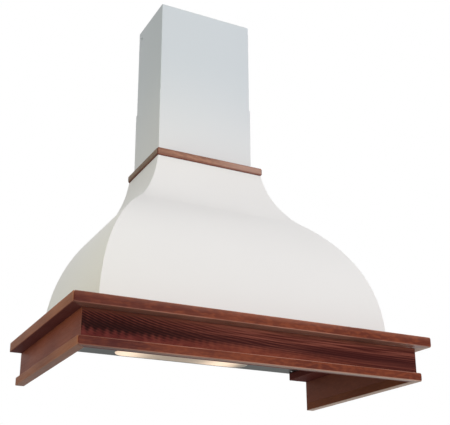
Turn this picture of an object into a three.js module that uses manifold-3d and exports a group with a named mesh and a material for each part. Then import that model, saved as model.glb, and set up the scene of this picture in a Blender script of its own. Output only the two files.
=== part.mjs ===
// A wall-mounted chimney range hood with a wooden cornice.
// Millimetres. +X is to the right, +Y into the wall, +Z up. The wall is the plane Y = 0.
// The model's origin is the point on the wall midway between the two hanging slots.
// The shapes below are drawn with Z = 0 at the underside of the wooden frame.

import * as THREE from "three";
import { mergeVertices } from "three/addons/utils/BufferGeometryUtils.js";
import Module from "manifold-3d";

const wasm = await Module();
wasm.setup();

// ---------------------------------------------------------------- general
const FIT = 0.3; // gap between pieces that seat on each other
const MITRE_GAP = 0.4; // gap along the cut where two mitred pieces meet
const CUT_PAST = 1; // a cutting tool reaches this far past what it cuts
const SIDES = 24; // sides of a large round
const SMALL_SIDES = 16; // sides of a small round
const ROUND_STEPS = 3; // steps in a rounded arris
const HANG_HEIGHT = 400; // hanging slots above the underside of the frame

// ---------------------------------------------------------------- screws
const SCREW_HEAD_RADIUS = 4.2;
const SCREW_HEAD_HEIGHT = 2.4;
const SCREW_SHANK_RADIUS = 2;
const SCREW_HOLE_RADIUS = 2.6;
const SCREW_PAST = 3; // shank past the last piece that it holds
const CROSS_WIDTH = 0.9;
const CROSS_REACH = 2.4;
const CROSS_DEPTH = 1.2;

// ---------------------------------------------------------------- wooden frame
const FRAME_WIDTH = 900;
const FRAME_DEPTH = 505;
const BOARD_WIDTH = 97; // top board, from its outer edge to its inner edge
const BOARD_THICK = 24;
const BOARD_ROUND = 4;
const INNER_ROUND = 1; // eased arris on the inner edges
const FASCIA_INSET = 29; // outer face, back from the edge of the top board
const FASCIA_THICK = 13;
const FASCIA_HEIGHT = 60.4;
const MOULDING_INSET = 20;
const MOULDING_HEIGHT = 20;
const MOULDING_ROUND = 6; // rounded upper arris
const MOULDING_LOWER_ROUND = 2.5;
const FRAME_SCREW_SEAT = 8.3; // screws to the steel tray, out from the tray's wall
const FRAME_SCREW_SPREAD = 250; // front screws, left and right of the middle
const FRAME_SCREW_BACK = 200; // side screws, out from the wall
const BRACKET_LEG = 40;
const BRACKET_THICK = 2;
const BRACKET_HEIGHT = 30;
const BRACKET_LIFT = 14; // corner bracket above the fascia's lower edge

// ---------------------------------------------------------------- steel bell
const SHEET = 1.5;
const FOOT_SEAT_SIDE = 19.5; // foot, out from the top board's inner edge
const FOOT_SEAT_FRONT = 23;
const BELL_HEIGHT = 489;
const KNUCKLE_HEIGHT = 333; // where the curve turns from bulging to hollow
const KNUCKLE_SPREAD = 0.333; // share of the foot's overhang that is left there
const KNUCKLE_SLOPE = 0.00522; // overhang share lost per millimetre there
const FOOT_TANGENT = 104; // lengths of the curve's tangents
const KNUCKLE_TANGENT = 100;
const NECK_TANGENT = 101;
const NECK_SLOPE = 0.00068;
const LOWER_STEPS = 13;
const UPPER_STEPS = 10;

// ---------------------------------------------------------------- back panel
const SLOT_SPREAD = 150; // hanging slots, left and right of the middle
const SLOT_WIDTH = 7;
const SLOT_RISE = 14;
const SLOT_EYE = 8; // radius of the wide eye below each slot

// ---------------------------------------------------------------- collar
const COLLAR_SIDE_WIDTH = 16.7; // from the chimney to the collar's outer edge
const COLLAR_FRONT_WIDTH = 33.7;
const COLLAR_SIDE_OVERHANG = 3.5; // past the bell's neck
const COLLAR_FRONT_OVERHANG = 4.2;
const COLLAR_HEIGHT = 22;
const COLLAR_ROUND = 5;

// ---------------------------------------------------------------- chimney
const CHIMNEY_WIDTH = 280;
const CHIMNEY_DEPTH = 178;
const CHIMNEY_SHEET = 1.2;
const CHIMNEY_RETURN = 16; // flange turned in along the wall
const LOWER_CHIMNEY_HEIGHT = 213.7;
const UPPER_CHIMNEY_SHOWS = 277; // stands above the lower sleeve
const UPPER_CHIMNEY_LIFT = 25.7; // its lower end above the neck plate
const SLEEVE_GAP = 0.5;
const WALL_BRACKET_HEIGHT = 26;
const WALL_BRACKET_DROP = 12; // below the top of the chimney
const WALL_BRACKET_THICK = 1.5;
const WALL_BRACKET_LEG = 34;
const WALL_BRACKET_JOG = 5; // the legs stand this far off the wall
const WALL_BRACKET_REACH = 105; // half the length that lies flat on the wall
const CHIMNEY_SCREW_BACK = 22; // screw, out from the wall

// ---------------------------------------------------------------- outlet and flaps
const OUTLET_MARGIN = 5.5; // from its flange to the chimney's front and to the wall
const OUTLET_WALL = 2;
const OUTLET_HEIGHT = 64;
const OUTLET_FLANGE = 9;
const OUTLET_FLANGE_THICK = 2;
const LIP_WIDTH = 6; // inner lip that the flaps close on
const LIP_HEIGHT = 8; // top of the lip above the flange's underside
const LIP_THICK = 2;
const FLAP_THICK = 1;
const FLAP_GAP = 2.5; // between the flap's rim and the outlet's wall
const FLAP_BARREL = 1.8; // radius of the rolled hinge edge
const FLAP_OFFSET = 4.5; // hinge line from the middle of the outlet
const BAR_WIDTH = 14;

// ---------------------------------------------------------------- blower
const FAN_DROP = 162.5; // shaft below the neck plate
const FAN_BACK = 145; // shaft, out from the wall
const FAN_RADIUS = 75;
const FAN_HALF_LENGTH = 50;
const FAN_RING = 8; // width of the rings that hold the blades
const FAN_RING_THICK = 2;
const BLADE_COUNT = 24;
const BLADE_THICK = 1;
const BLADE_LEAN = 35; // degrees
const BLADE_INSET = 1.3; // blades lie this far inside the rings' edges
const FAN_DISC_THICK = 2;
const HUB_RADIUS = 14;
const HUB_HALF_LENGTH = 5;
const SHAFT_PAST = 2; // shaft past the hub
const SCROLL_START = 85; // scroll's inner radius at its tongue
const SCROLL_END = 111; // and where it leaves for the outlet
const SCROLL_STEPS = 18;
const SCROLL_HALF_WIDTH = 60;
const SCROLL_WALL = 1.5;
const INLET_RADIUS = 66;
const MOUTH_FRONT = 144; // front of the rectangular mouth, out from the wall
const MOUTH_FLANGE = 10;
const SHAFT_RADIUS = 4;
const MOTOR_RADIUS = 42;
const MOTOR_LENGTH = 44;
const MOTOR_GAP = 3; // between the motor and the hub
const MOTOR_BOSS = 12; // radius
const SHAFT_BORE_DEPTH = 30;
const SPIDER_ARM = 12; // width
const SPIDER_OVERLAP = 10; // arm ends lie this far over the inlet's rim
const SPIDER_THICK = 2;
const SPIDER_HUB = 22;

// ---------------------------------------------------------------- steel tray
const TRAY_SHEET = 1.2;
const TRAY_DROP = 5; // tray's underside below the top of the board
const TRAY_FLANGE = 13; // lies on the board
const LIP_RISE = 5; // stiffening edge around each opening

// ---------------------------------------------------------------- grease filters
const FILTER_THICK = 9;
const FILTER_BORDER = 13;
const FILTER_LAMP_GAP = 40; // rear edge, in front of the lamp cover
const FILTER_CONTROL_GAP = 8.7; // front edge, behind the control bezel
const FILTER_SIDE_BAND = 41.7; // outer edge, in from the tray's side
const FILTER_SPACING = 22; // between the two filters
const FILTER_SIDE_GAP = 1.5;
const FILTER_REAR_GAP = 3;
const FILTER_SHOWS = 3; // stands below the tray
const PLEAT_COUNT = 20;
const PLEAT_SHEET = 2;
const PLEAT_DEPTH = 6;
const TAB_WIDTH = 20;
const TAB_REACH = 8; // past the edge of the opening
const TAB_THICK = 1.5;
const TAB_SPREAD = 100;
const LATCH_WIDTH = 34;
const LATCH_LENGTH = 18;
const LATCH_THICK = 5;
const LATCH_ROUND = 4;
const LATCH_OVERHANG = 4; // knob in front of its neck
const LATCH_NECK_WIDTH = 8;
const LATCH_NECK_LENGTH = 3;
const LATCH_TRAVEL = 5;
const LATCH_BOLT_WIDTH = 12;
const LATCH_BOLT_THICK = 2.5;

// ---------------------------------------------------------------- lamp
const DIFFUSER_LENGTH = 380;
const DIFFUSER_WIDTH = 62;
const DIFFUSER_WALL = 2;
const DIFFUSER_DEPTH = 7;
const DIFFUSER_SHOWS = 2.5; // stands below the tray
const DIFFUSER_GAP = 0.7;
const DIFFUSER_BACK = 13; // rear edge, out from the wall
const LAMP_BOX_HEIGHT = 48;
const LAMP_BOX_MARGIN = 5;
const LAMP_BOX_SHEET = 1;
const HOLDER_RADIUS = 12.5;
const HOLDER_LENGTH = 28;
const BULB_LENGTH = 62;
const BULB_TIP = 9; // how broad the candle's tip is
const BULB_BELLY = 26; // pull of the curve at its widest
const BULB_CAP = 7; // radius of the screw cap
const BULB_CAP_LENGTH = 14;

// ---------------------------------------------------------------- controls
const BUTTON_COUNT = 5;
const BUTTON_PITCH = 28;
const BUTTON_RADIUS = 6;
const BUTTON_SHOWS = 3;
const BUTTON_TRAVEL = 2.5;
const BUTTON_COLLAR = 1.5; // collar's step and thickness
const BUTTON_STEM = 12; // length above the collar
const BUTTON_GAP = 0.4;
const BUTTON_EDGE = 1; // bevel round the button's face
const BEZEL_THICK = 1.5;
const BEZEL_WIDTH = 28;
const BEZEL_ROUND = 5;
const BEZEL_END = 22; // past the middle of the last button
const BEZEL_MARGIN = 4; // bezel past the opening that it covers
const CONTROL_FRONT = 6; // bezel's edge back from the tray's front wall
const SWITCH_MARGIN = 1.5; // switch block inside the bezel's outline
const SWITCH_ROOF = 3;

// ---------------------------------------------------------------- wiring
const TERMINAL_WIDTH = 80;
const TERMINAL_DEPTH = 40;
const TERMINAL_HEIGHT = 60;
const TERMINAL_SIDE = 110; // its near side, right of the middle
const TERMINAL_LIFT = 230; // above the underside of the frame
const GLAND_RADIUS = 9;
const GLAND_NOSE = 7; // radius at its upper end
const GLAND_BORE = 4;
const GLAND_NUT = 12; // height of its straight lower part
const GLAND_HEIGHT = 24;

// ---------------------------------------------------------------- worked-out levels
const frameHalf = FRAME_WIDTH / 2;
const fasciaBottom = MOULDING_HEIGHT + FIT;
const fasciaTop = fasciaBottom + FASCIA_HEIGHT;
const boardBottom = fasciaTop + FIT;
const boardTop = boardBottom + BOARD_THICK;
const fasciaInner = FASCIA_INSET + FASCIA_THICK;
const openingHalf = frameHalf - BOARD_WIDTH;
const openingDepth = FRAME_DEPTH - BOARD_WIDTH;
const collarHalf = CHIMNEY_WIDTH / 2 + FIT + COLLAR_SIDE_WIDTH;
const collarDepth = CHIMNEY_DEPTH + FIT + COLLAR_FRONT_WIDTH;
const bellFoot = boardTop + FIT;
const bellTop = bellFoot + BELL_HEIGHT;
const footHalf = openingHalf + FOOT_SEAT_SIDE;
const footDepth = openingDepth + FOOT_SEAT_FRONT;
const neckHalf = collarHalf - COLLAR_SIDE_OVERHANG;
const neckDepth = collarDepth - COLLAR_FRONT_OVERHANG;
const neckPlateTop = bellTop - FIT;
const neckPlateBottom = neckPlateTop - SHEET;
const fanHeight = neckPlateBottom - FAN_DROP;
const chimneyBase = neckPlateTop + FIT;
const lowerChimneyTop = chimneyBase + LOWER_CHIMNEY_HEIGHT;
const upperChimneyTop = lowerChimneyTop + UPPER_CHIMNEY_SHOWS;
const upperChimneyBottom = chimneyBase + UPPER_CHIMNEY_LIFT;
const outletBack = CHIMNEY_DEPTH / 2;
const outletRadius = outletBack - OUTLET_MARGIN - OUTLET_FLANGE;
const trayBottom = boardTop - TRAY_DROP;
const trayTop = trayBottom + TRAY_SHEET;
const trayHalf = openingHalf - FIT;
const trayFront = openingDepth - FIT;
const trayRear = SHEET + FIT;
const flangeBottom = boardTop + FIT;
const flangeTop = flangeBottom + TRAY_SHEET;

// ---------------------------------------------------------------- finishes
const WOOD_BOARD = { color: 0x70352a, roughness: 0.5, metalness: 0 };
const WOOD_FASCIA = { color: 0x4a231c, roughness: 0.55, metalness: 0 };
const WOOD_COLLAR = { color: 0x9c6a5a, roughness: 0.5, metalness: 0 };
const PAINT_BELL = { color: 0xe6e3de, roughness: 0.5, metalness: 0 };
const PAINT_CHIMNEY = { color: 0xd6dbdc, roughness: 0.45, metalness: 0 };
const STAINLESS = { color: 0x8c9294, roughness: 0.35, metalness: 1 };
const ALUMINIUM = { color: 0xb4b6b8, roughness: 0.4, metalness: 1 };
const GALVANISED = { color: 0x9a9fa1, roughness: 0.5, metalness: 1 };
const BRIGHT_STEEL = { color: 0xc4c6c8, roughness: 0.25, metalness: 1 };
const DARK_PLASTIC = { color: 0x2a2b2d, roughness: 0.5, metalness: 0 };
const GREY_PLASTIC = { color: 0x8d8f91, roughness: 0.5, metalness: 0 };
const WHITE_PLASTIC = { color: 0xe4e2dc, roughness: 0.4, metalness: 0 };
const LAMP_COVER = { color: 0xf6e8c8, roughness: 0.4, metalness: 0 };
const BULB_GLASS = { color: 0xfff1d8, roughness: 0.2, metalness: 0 };

// ---------------------------------------------------------------- solids
// A closed mesh with merged corners, no flat triangles, and faces that point out.
function closed(geometry) {
  const bare = geometry.clone();
  bare.deleteAttribute("normal");
  bare.deleteAttribute("uv");
  const merged = mergeVertices(bare, 1e-4);
  const corner = merged.attributes.position;
  const old = merged.index.array;
  const kept = [];
  let volume = 0;
  const a = new THREE.Vector3();
  const b = new THREE.Vector3();
  const c = new THREE.Vector3();
  for (let i = 0; i < old.length; i += 3) {
    const [p, q, r] = [old[i], old[i + 1], old[i + 2]];
    if (p === q || q === r || r === p) continue;
    kept.push(p, q, r);
    a.fromBufferAttribute(corner, p);
    b.fromBufferAttribute(corner, q);
    c.fromBufferAttribute(corner, r);
    volume += a.dot(b.cross(c));
  }
  merged.setIndex(volume < 0 ? kept.reverse() : kept);
  return merged;
}

function toSolid(geometry) {
  const mesh = closed(geometry);
  return new wasm.Manifold(
    new wasm.Mesh({
      numProp: 3,
      vertProperties: new Float32Array(mesh.attributes.position.array),
      triVerts: new Uint32Array(mesh.index.array),
    })
  );
}

function toGeometry(solid) {
  const mesh = solid.getMesh();
  const geometry = new THREE.BufferGeometry();
  geometry.setAttribute("position", new THREE.BufferAttribute(mesh.vertProperties, 3));
  geometry.setIndex(new THREE.BufferAttribute(mesh.triVerts, 1));
  return geometry;
}

function join(...pieces) {
  return toGeometry(pieces.map(toSolid).reduce((all, piece) => all.add(piece)));
}

function cut(base, ...tools) {
  const left = tools.map(toSolid).reduce((all, tool) => all.subtract(tool), toSolid(base));
  return toGeometry(left);
}

function block(x0, x1, y0, y1, z0, z1) {
  const box = new THREE.BoxGeometry(x1 - x0, y1 - y0, z1 - z0);
  return box.translate((x0 + x1) / 2, (y0 + y1) / 2, (z0 + z1) / 2);
}

// A plate of any outline in plan, from z0 up to z1.
function plate(outline, z0, z1, holes = []) {
  const shape = new THREE.Shape(outline);
  shape.holes = holes.map((hole) => new THREE.Path(hole));
  const solid = new THREE.ExtrudeGeometry(shape, { depth: z1 - z0, bevelEnabled: false });
  return solid.translate(0, 0, z0);
}

// The outline lies in a plane across X: its first coordinate is Y, its second Z.
function plateAcrossX(outline, x0, x1) {
  const shape = new THREE.Shape(outline);
  const solid = new THREE.ExtrudeGeometry(shape, { depth: x1 - x0, bevelEnabled: false });
  solid.rotateX(Math.PI / 2);
  solid.rotateZ(Math.PI / 2);
  return solid.translate(x0, 0, 0);
}

// A profile of [radius, height] pairs turned about the Z axis, or laid along +X.
function turned(profile, sides) {
  const points = profile.map(([radius, height]) => new THREE.Vector2(radius, height));
  return new THREE.LatheGeometry(points, sides).rotateX(Math.PI / 2);
}

function turnedAlongX(profile, sides) {
  return turned(profile, sides).rotateY(Math.PI / 2);
}

function cylinder(radius, z0, z1, sides = SMALL_SIDES) {
  return turned([[0, z0], [radius, z0], [radius, z1], [0, z1]], sides);
}

function circle(x, y, radius, sides = SMALL_SIDES) {
  const points = [];
  for (let i = 0; i < sides; i++) {
    const angle = (2 * Math.PI * i) / sides;
    points.push(new THREE.Vector2(x + radius * Math.cos(angle), y + radius * Math.sin(angle)));
  }
  return points;
}

function rectangle(x0, x1, y0, y1) {
  return [[x0, y0], [x1, y0], [x1, y1], [x0, y1]].map(([x, y]) => new THREE.Vector2(x, y));
}

// A rectangle with half-round ends, long in X.
function stadium(length, width, middleY) {
  const radius = width / 2;
  const points = [];
  for (const [side, start] of [[1, -0.5], [-1, 0.5]]) {
    for (let i = 0; i <= SMALL_SIDES / 2; i++) {
      const angle = Math.PI * (start + (2 * i) / SMALL_SIDES);
      const x = side * (length / 2 - radius) + radius * Math.cos(angle);
      points.push(new THREE.Vector2(x, middleY + radius * Math.sin(angle)));
    }
  }
  return points;
}

function mirrored(geometry) {
  return closed(geometry.clone().scale(-1, 1, 1));
}

// Corners are [u, v, radius]: each sharp corner is rounded with a short curve.
function rounded(corners) {
  const points = [];
  corners.forEach(([u, v, radius = 0], i) => {
    const corner = new THREE.Vector2(u, v);
    if (radius === 0) {
      points.push(corner);
      return;
    }
    const before = new THREE.Vector2(...corners.at(i - 1));
    const after = new THREE.Vector2(...corners[(i + 1) % corners.length]);
    const start = corner.clone().add(before.sub(corner).setLength(radius));
    const end = corner.clone().add(after.sub(corner).setLength(radius));
    points.push(...new THREE.QuadraticBezierCurve(start, corner, end).getPoints(ROUND_STEPS));
  });
  return points;
}

// Joins rings of corners, each ring with as many corners as the outline that caps the ends.
function loft(rings, outline) {
  const count = outline.length;
  const corners = rings.flat();
  const index = [];
  for (let ring = 0; ring + 1 < rings.length; ring++) {
    for (let i = 0; i < count; i++) {
      const next = (i + 1) % count;
      const [a, b] = [ring * count + i, ring * count + next];
      index.push(a, b, b + count, a, b + count, a + count);
    }
  }
  const last = (rings.length - 1) * count;
  const turnsLeft = THREE.ShapeUtils.area(outline) > 0;
  for (const [i, j, k] of THREE.ShapeUtils.triangulateShape(outline, [])) {
    const [p, q] = turnsLeft ? [j, k] : [k, j];
    index.push(i, q, p, last + i, last + p, last + q);
  }
  const geometry = new THREE.BufferGeometry().setFromPoints(corners);
  geometry.setIndex(index);
  return closed(geometry);
}

// A bent sheet: the line is its outer face, and the thickness lies to the line's left.
function sheetOutline(line, thickness) {
  const outer = line.map(([x, y]) => new THREE.Vector2(x, y));
  const inner = outer.map((point, i) => {
    const into = (from, to) => {
      const along = to.clone().sub(from).normalize();
      return new THREE.Vector2(-along.y, along.x);
    };
    const before = i > 0 ? into(outer[i - 1], point) : into(point, outer[1]);
    const after = i + 1 < outer.length ? into(point, outer[i + 1]) : before;
    const offset = before.clone().add(after).multiplyScalar(thickness / (1 + before.dot(after)));
    return point.clone().add(offset);
  });
  return [...outer, ...inner.reverse()];
}

// ---------------------------------------------------------------- assembly
const hood = new THREE.Group();
hood.position.z = -HANG_HEIGHT;

function addPart(name, geometry, finish, place = [0, 0, 0]) {
  const mesh = new THREE.Mesh(geometry, new THREE.MeshStandardMaterial(finish));
  mesh.name = name;
  mesh.position.set(...place);
  hood.add(mesh);
}

function addPair(name, right, finish) {
  addPart(`${name}_left`, mirrored(right), finish);
  addPart(`${name}_right`, right, finish);
}

// ---------------------------------------------------------------- mitred woodwork
// The profile's first coordinate runs from the outer edge inwards, its second is Z.
function mitredFront(profile, rim) {
  const ringAt = (side) =>
    profile.map(({ x: inset, y: z }) => {
      const share = inset / rim.frontWidth;
      const x = side * (rim.half - share * rim.sideWidth);
      return new THREE.Vector3(x, inset - rim.depth, z);
    });
  return loft([ringAt(-1), ringAt(1)], profile);
}

function mitredSide(profile, rim) {
  const corner = profile.map(({ x: inset, y: z }) => {
    const share = inset / rim.sideWidth;
    const y = share * rim.frontWidth - rim.depth + MITRE_GAP;
    return new THREE.Vector3(rim.half - inset, y, z);
  });
  const wallEnd = corner.map(({ x, z }) => new THREE.Vector3(x, 0, z));
  return loft([corner, wallEnd], profile);
}

function frameRim(inset, width) {
  return {
    half: frameHalf - inset,
    depth: FRAME_DEPTH - inset,
    frontWidth: width,
    sideWidth: width,
  };
}

function frameScrewPlaces() {
  const front = -trayFront - FRAME_SCREW_SEAT;
  const side = trayHalf + FRAME_SCREW_SEAT;
  return {
    front_left: [-FRAME_SCREW_SPREAD, front],
    front_right: [FRAME_SCREW_SPREAD, front],
    side_left: [-side, -FRAME_SCREW_BACK],
    side_right: [side, -FRAME_SCREW_BACK],
  };
}

// A pan-head screw: its head hangs below Z = 0 and its shank rises from it.
function screw(length) {
  const body = turned(
    [
      [0, -SCREW_HEAD_HEIGHT],
      [SCREW_HEAD_RADIUS - SCREW_HEAD_HEIGHT / 2, -SCREW_HEAD_HEIGHT],
      [SCREW_HEAD_RADIUS, -SCREW_HEAD_HEIGHT / 2],
      [SCREW_HEAD_RADIUS, 0],
      [SCREW_SHANK_RADIUS, 0],
      [SCREW_SHANK_RADIUS, length],
      [0, length],
    ],
    SMALL_SIDES
  );
  const top = CROSS_DEPTH - SCREW_HEAD_HEIGHT;
  const below = -2 * SCREW_HEAD_HEIGHT;
  const half = CROSS_WIDTH / 2;
  return cut(
    body,
    block(-CROSS_REACH, CROSS_REACH, -half, half, below, top),
    block(-half, half, -CROSS_REACH, CROSS_REACH, below, top)
  );
}

function frameScrewHoles(names, z0, z1) {
  const places = frameScrewPlaces();
  return names.map((name) => {
    const [x, y] = places[name];
    return cylinder(SCREW_HOLE_RADIUS, z0, z1).translate(x, y, 0);
  });
}

function addWoodFrame() {
  const boardRim = frameRim(0, BOARD_WIDTH);
  const boardProfile = rounded([
    [0, boardBottom, BOARD_ROUND],
    [BOARD_WIDTH, boardBottom, INNER_ROUND],
    [BOARD_WIDTH, boardTop],
    [0, boardTop, BOARD_ROUND],
  ]);
  const drill = (board, names) =>
    cut(board, ...frameScrewHoles(names, boardBottom - CUT_PAST, boardTop + CUT_PAST));
  const frontBoard = mitredFront(boardProfile, boardRim);
  addPart("top_board_front", drill(frontBoard, ["front_left", "front_right"]), WOOD_BOARD);
  addPair("top_board", drill(mitredSide(boardProfile, boardRim), ["side_right"]), WOOD_BOARD);

  const fasciaRim = frameRim(FASCIA_INSET, FASCIA_THICK);
  const fasciaProfile = rectangle(0, FASCIA_THICK, fasciaBottom, fasciaTop);
  addPart("fascia_front", mitredFront(fasciaProfile, fasciaRim), WOOD_FASCIA);
  addPair("fascia", mitredSide(fasciaProfile, fasciaRim), WOOD_FASCIA);

  const mouldingWidth = fasciaInner - MOULDING_INSET;
  const mouldingRim = frameRim(MOULDING_INSET, mouldingWidth);
  const mouldingProfile = rounded([
    [0, 0, MOULDING_LOWER_ROUND],
    [mouldingWidth, 0, INNER_ROUND],
    [mouldingWidth, MOULDING_HEIGHT],
    [0, MOULDING_HEIGHT, MOULDING_ROUND],
  ]);
  addPart("lower_moulding_front", mitredFront(mouldingProfile, mouldingRim), WOOD_BOARD);
  addPair("lower_moulding", mitredSide(mouldingProfile, mouldingRim), WOOD_BOARD);
}

function addFrameHardware() {
  const length = BOARD_THICK + FIT + TRAY_SHEET + SCREW_PAST;
  for (const [name, [x, y]] of Object.entries(frameScrewPlaces())) {
    addPart(`frame_screw_${name}`, screw(length), BRIGHT_STEEL, [x, y, boardBottom - FIT]);
  }
  const x = frameHalf - fasciaInner - FIT;
  const y = fasciaInner + FIT - FRAME_DEPTH;
  const angle = sheetOutline([[x - BRACKET_LEG, y], [x, y], [x, y + BRACKET_LEG]], BRACKET_THICK);
  const low = fasciaBottom + BRACKET_LIFT;
  addPair("corner_bracket", plate(angle, low, low + BRACKET_HEIGHT), BRIGHT_STEEL);
}

function addCollar() {
  const bottom = bellTop + FIT;
  const rim = {
    half: collarHalf,
    depth: collarDepth,
    frontWidth: COLLAR_FRONT_WIDTH,
    sideWidth: COLLAR_SIDE_WIDTH,
  };
  const profileFor = (width) =>
    rounded([
      [0, bottom, COLLAR_ROUND],
      [width, bottom],
      [width, bottom + COLLAR_HEIGHT],
      [0, bottom + COLLAR_HEIGHT, COLLAR_ROUND],
    ]);
  addPart("collar_front", mitredFront(profileFor(rim.frontWidth), rim), WOOD_COLLAR);
  addPair("collar", mitredSide(profileFor(rim.sideWidth), rim), WOOD_COLLAR);
}

// ---------------------------------------------------------------- steel bell
// The bell's sides and front share one curve, from the foot up through the knuckle to
// the neck. Each station has its height and the share of the foot's overhang left there.
function bellStations() {
  const knuckle = new THREE.Vector2(KNUCKLE_HEIGHT, KNUCKLE_SPREAD);
  const foot = new THREE.Vector2(0, 1);
  const neck = new THREE.Vector2(BELL_HEIGHT, 0);
  const below = new THREE.Vector2(-1, KNUCKLE_SLOPE).multiplyScalar(KNUCKLE_TANGENT);
  const under = new THREE.Vector2(-1, NECK_SLOPE).multiplyScalar(NECK_TANGENT);
  const bulge = new THREE.CubicBezierCurve(
    foot,
    new THREE.Vector2(FOOT_TANGENT, 1),
    knuckle.clone().add(below),
    knuckle
  );
  const hollow = new THREE.CubicBezierCurve(knuckle, knuckle, neck.clone().add(under), neck);
  return [...bulge.getPoints(LOWER_STEPS), ...hollow.getPoints(UPPER_STEPS).slice(1)];
}

// Outer and inner half-width and depth of the bell at each station.
function bellSections() {
  const stations = bellStations();
  const widthGain = footHalf - neckHalf;
  const depthGain = footDepth - neckDepth;
  return stations.map(({ x: height, y: spread }, i) => {
    const before = stations[Math.max(i - 1, 0)];
    const after = stations[Math.min(i + 1, stations.length - 1)];
    const slope = (after.y - before.y) / (after.x - before.x);
    const half = neckHalf + widthGain * spread;
    const depth = neckDepth + depthGain * spread;
    return {
      z: bellFoot + height,
      half,
      depth,
      innerHalf: half - SHEET * Math.hypot(1, slope * widthGain),
      innerDepth: depth - SHEET * Math.hypot(1, slope * depthGain),
    };
  });
}

function addBell() {
  const sections = bellSections();
  const front = sections.map(({ z, half, depth, innerHalf, innerDepth }) => [
    new THREE.Vector3(-half, -depth, z),
    new THREE.Vector3(half, -depth, z),
    new THREE.Vector3(innerHalf, -innerDepth, z),
    new THREE.Vector3(-innerHalf, -innerDepth, z),
  ]);
  const side = sections.map(({ z, half, depth, innerHalf, innerDepth }) => [
    new THREE.Vector3(half, MITRE_GAP - depth, z),
    new THREE.Vector3(half, 0, z),
    new THREE.Vector3(innerHalf, 0, z),
    new THREE.Vector3(innerHalf, MITRE_GAP - innerDepth, z),
  ]);
  const planOf = (ring) => ring.map(({ x, y }) => new THREE.Vector2(x, y));
  addPart("bell_front_panel", loft(front, planOf(front[0])), PAINT_BELL);
  addPair("bell_side_panel", loft(side, planOf(side[0])), PAINT_BELL);
}

// The upright plate against the wall, with two keyhole slots for the wall hooks.
function addBackPanel() {
  const top = neckPlateBottom - FIT;
  const edge = bellSections()
    .filter(({ z }) => z < top)
    .map(({ z, innerHalf }) => [innerHalf - FIT, z]);
  const topHalf = bellSections().at(-1).innerHalf - FIT;
  const right = [[trayHalf, trayBottom], [trayHalf, bellFoot], ...edge, [topHalf, top]];
  const left = right.map(([x, z]) => [-x, z]).reverse();
  const outline = [...right, ...left].map(([x, z]) => new THREE.Vector2(x, z));
  const shape = new THREE.Shape(outline);
  shape.holes = [-1, 1].map((side) => new THREE.Path(keyhole(side * SLOT_SPREAD)));
  const panel = new THREE.ExtrudeGeometry(shape, { depth: SHEET, bevelEnabled: false });
  addPart("back_panel", panel.rotateX(Math.PI / 2), PAINT_BELL);
}

// The slot's top rests on the hook, so it lies at the hanging height.
function keyhole(x) {
  const half = SLOT_WIDTH / 2;
  const eyeZ = HANG_HEIGHT - SLOT_RISE;
  const meet = Math.asin(half / SLOT_EYE);
  const points = [];
  for (let i = 0; i <= SMALL_SIDES; i++) {
    const angle = Math.PI / 2 + meet + ((2 * Math.PI - 2 * meet) * i) / SMALL_SIDES;
    const z = eyeZ + SLOT_EYE * Math.sin(angle);
    points.push(new THREE.Vector2(x + SLOT_EYE * Math.cos(angle), z));
  }
  for (let i = 0; i <= SMALL_SIDES / 2; i++) {
    const angle = (2 * Math.PI * i) / SMALL_SIDES;
    const z = HANG_HEIGHT - half + half * Math.sin(angle);
    points.push(new THREE.Vector2(x + half * Math.cos(angle), z));
  }
  return points;
}

function addNeckPlate() {
  const { innerHalf, innerDepth } = bellSections().at(-1);
  const half = innerHalf - FIT;
  const outline = rectangle(-half, half, FIT - innerDepth, -trayRear);
  const hole = circle(0, -outletBack, outletRadius - OUTLET_WALL, SIDES);
  addPart("neck_plate", plate(outline, neckPlateBottom, neckPlateTop, [hole]), GALVANISED);
}

// ---------------------------------------------------------------- telescopic chimney
function chimneySection(half, depth, rear) {
  const outer = [
    [-half + CHIMNEY_RETURN, rear],
    [-half, rear],
    [-half, -depth],
    [half, -depth],
    [half, rear],
    [half - CHIMNEY_RETURN, rear],
  ];
  return sheetOutline(outer, CHIMNEY_SHEET);
}

function upperChimneySize() {
  const sleeve = CHIMNEY_SHEET + SLEEVE_GAP;
  return {
    half: CHIMNEY_WIDTH / 2 - sleeve,
    depth: CHIMNEY_DEPTH - sleeve,
    rear: -sleeve,
  };
}

function chimneyScrewPlace() {
  const bracketMiddle = upperChimneyTop - WALL_BRACKET_DROP - WALL_BRACKET_HEIGHT / 2;
  return [upperChimneySize().half, -CHIMNEY_SCREW_BACK, bracketMiddle];
}

function screwAlongMinusX(length) {
  return closed(screw(length)).rotateY(-Math.PI / 2);
}

function sideHole(x0, x1) {
  const [, y, z] = chimneyScrewPlace();
  return turnedAlongX([[0, x0], [SCREW_HOLE_RADIUS, x0], [SCREW_HOLE_RADIUS, x1], [0, x1]],
    SMALL_SIDES).translate(0, y, z);
}

function addChimney() {
  const lower = chimneySection(CHIMNEY_WIDTH / 2, CHIMNEY_DEPTH, 0);
  addPart("lower_chimney", plate(lower, chimneyBase, lowerChimneyTop), PAINT_CHIMNEY);

  const { half, depth, rear } = upperChimneySize();
  const upper = chimneySection(half, depth, rear);
  const sleeve = plate(upper, upperChimneyBottom, upperChimneyTop);
  const drilled = cut(sleeve, sideHole(-half - CUT_PAST, half + CUT_PAST));
  addPart("upper_chimney", drilled, PAINT_CHIMNEY);
}

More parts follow.
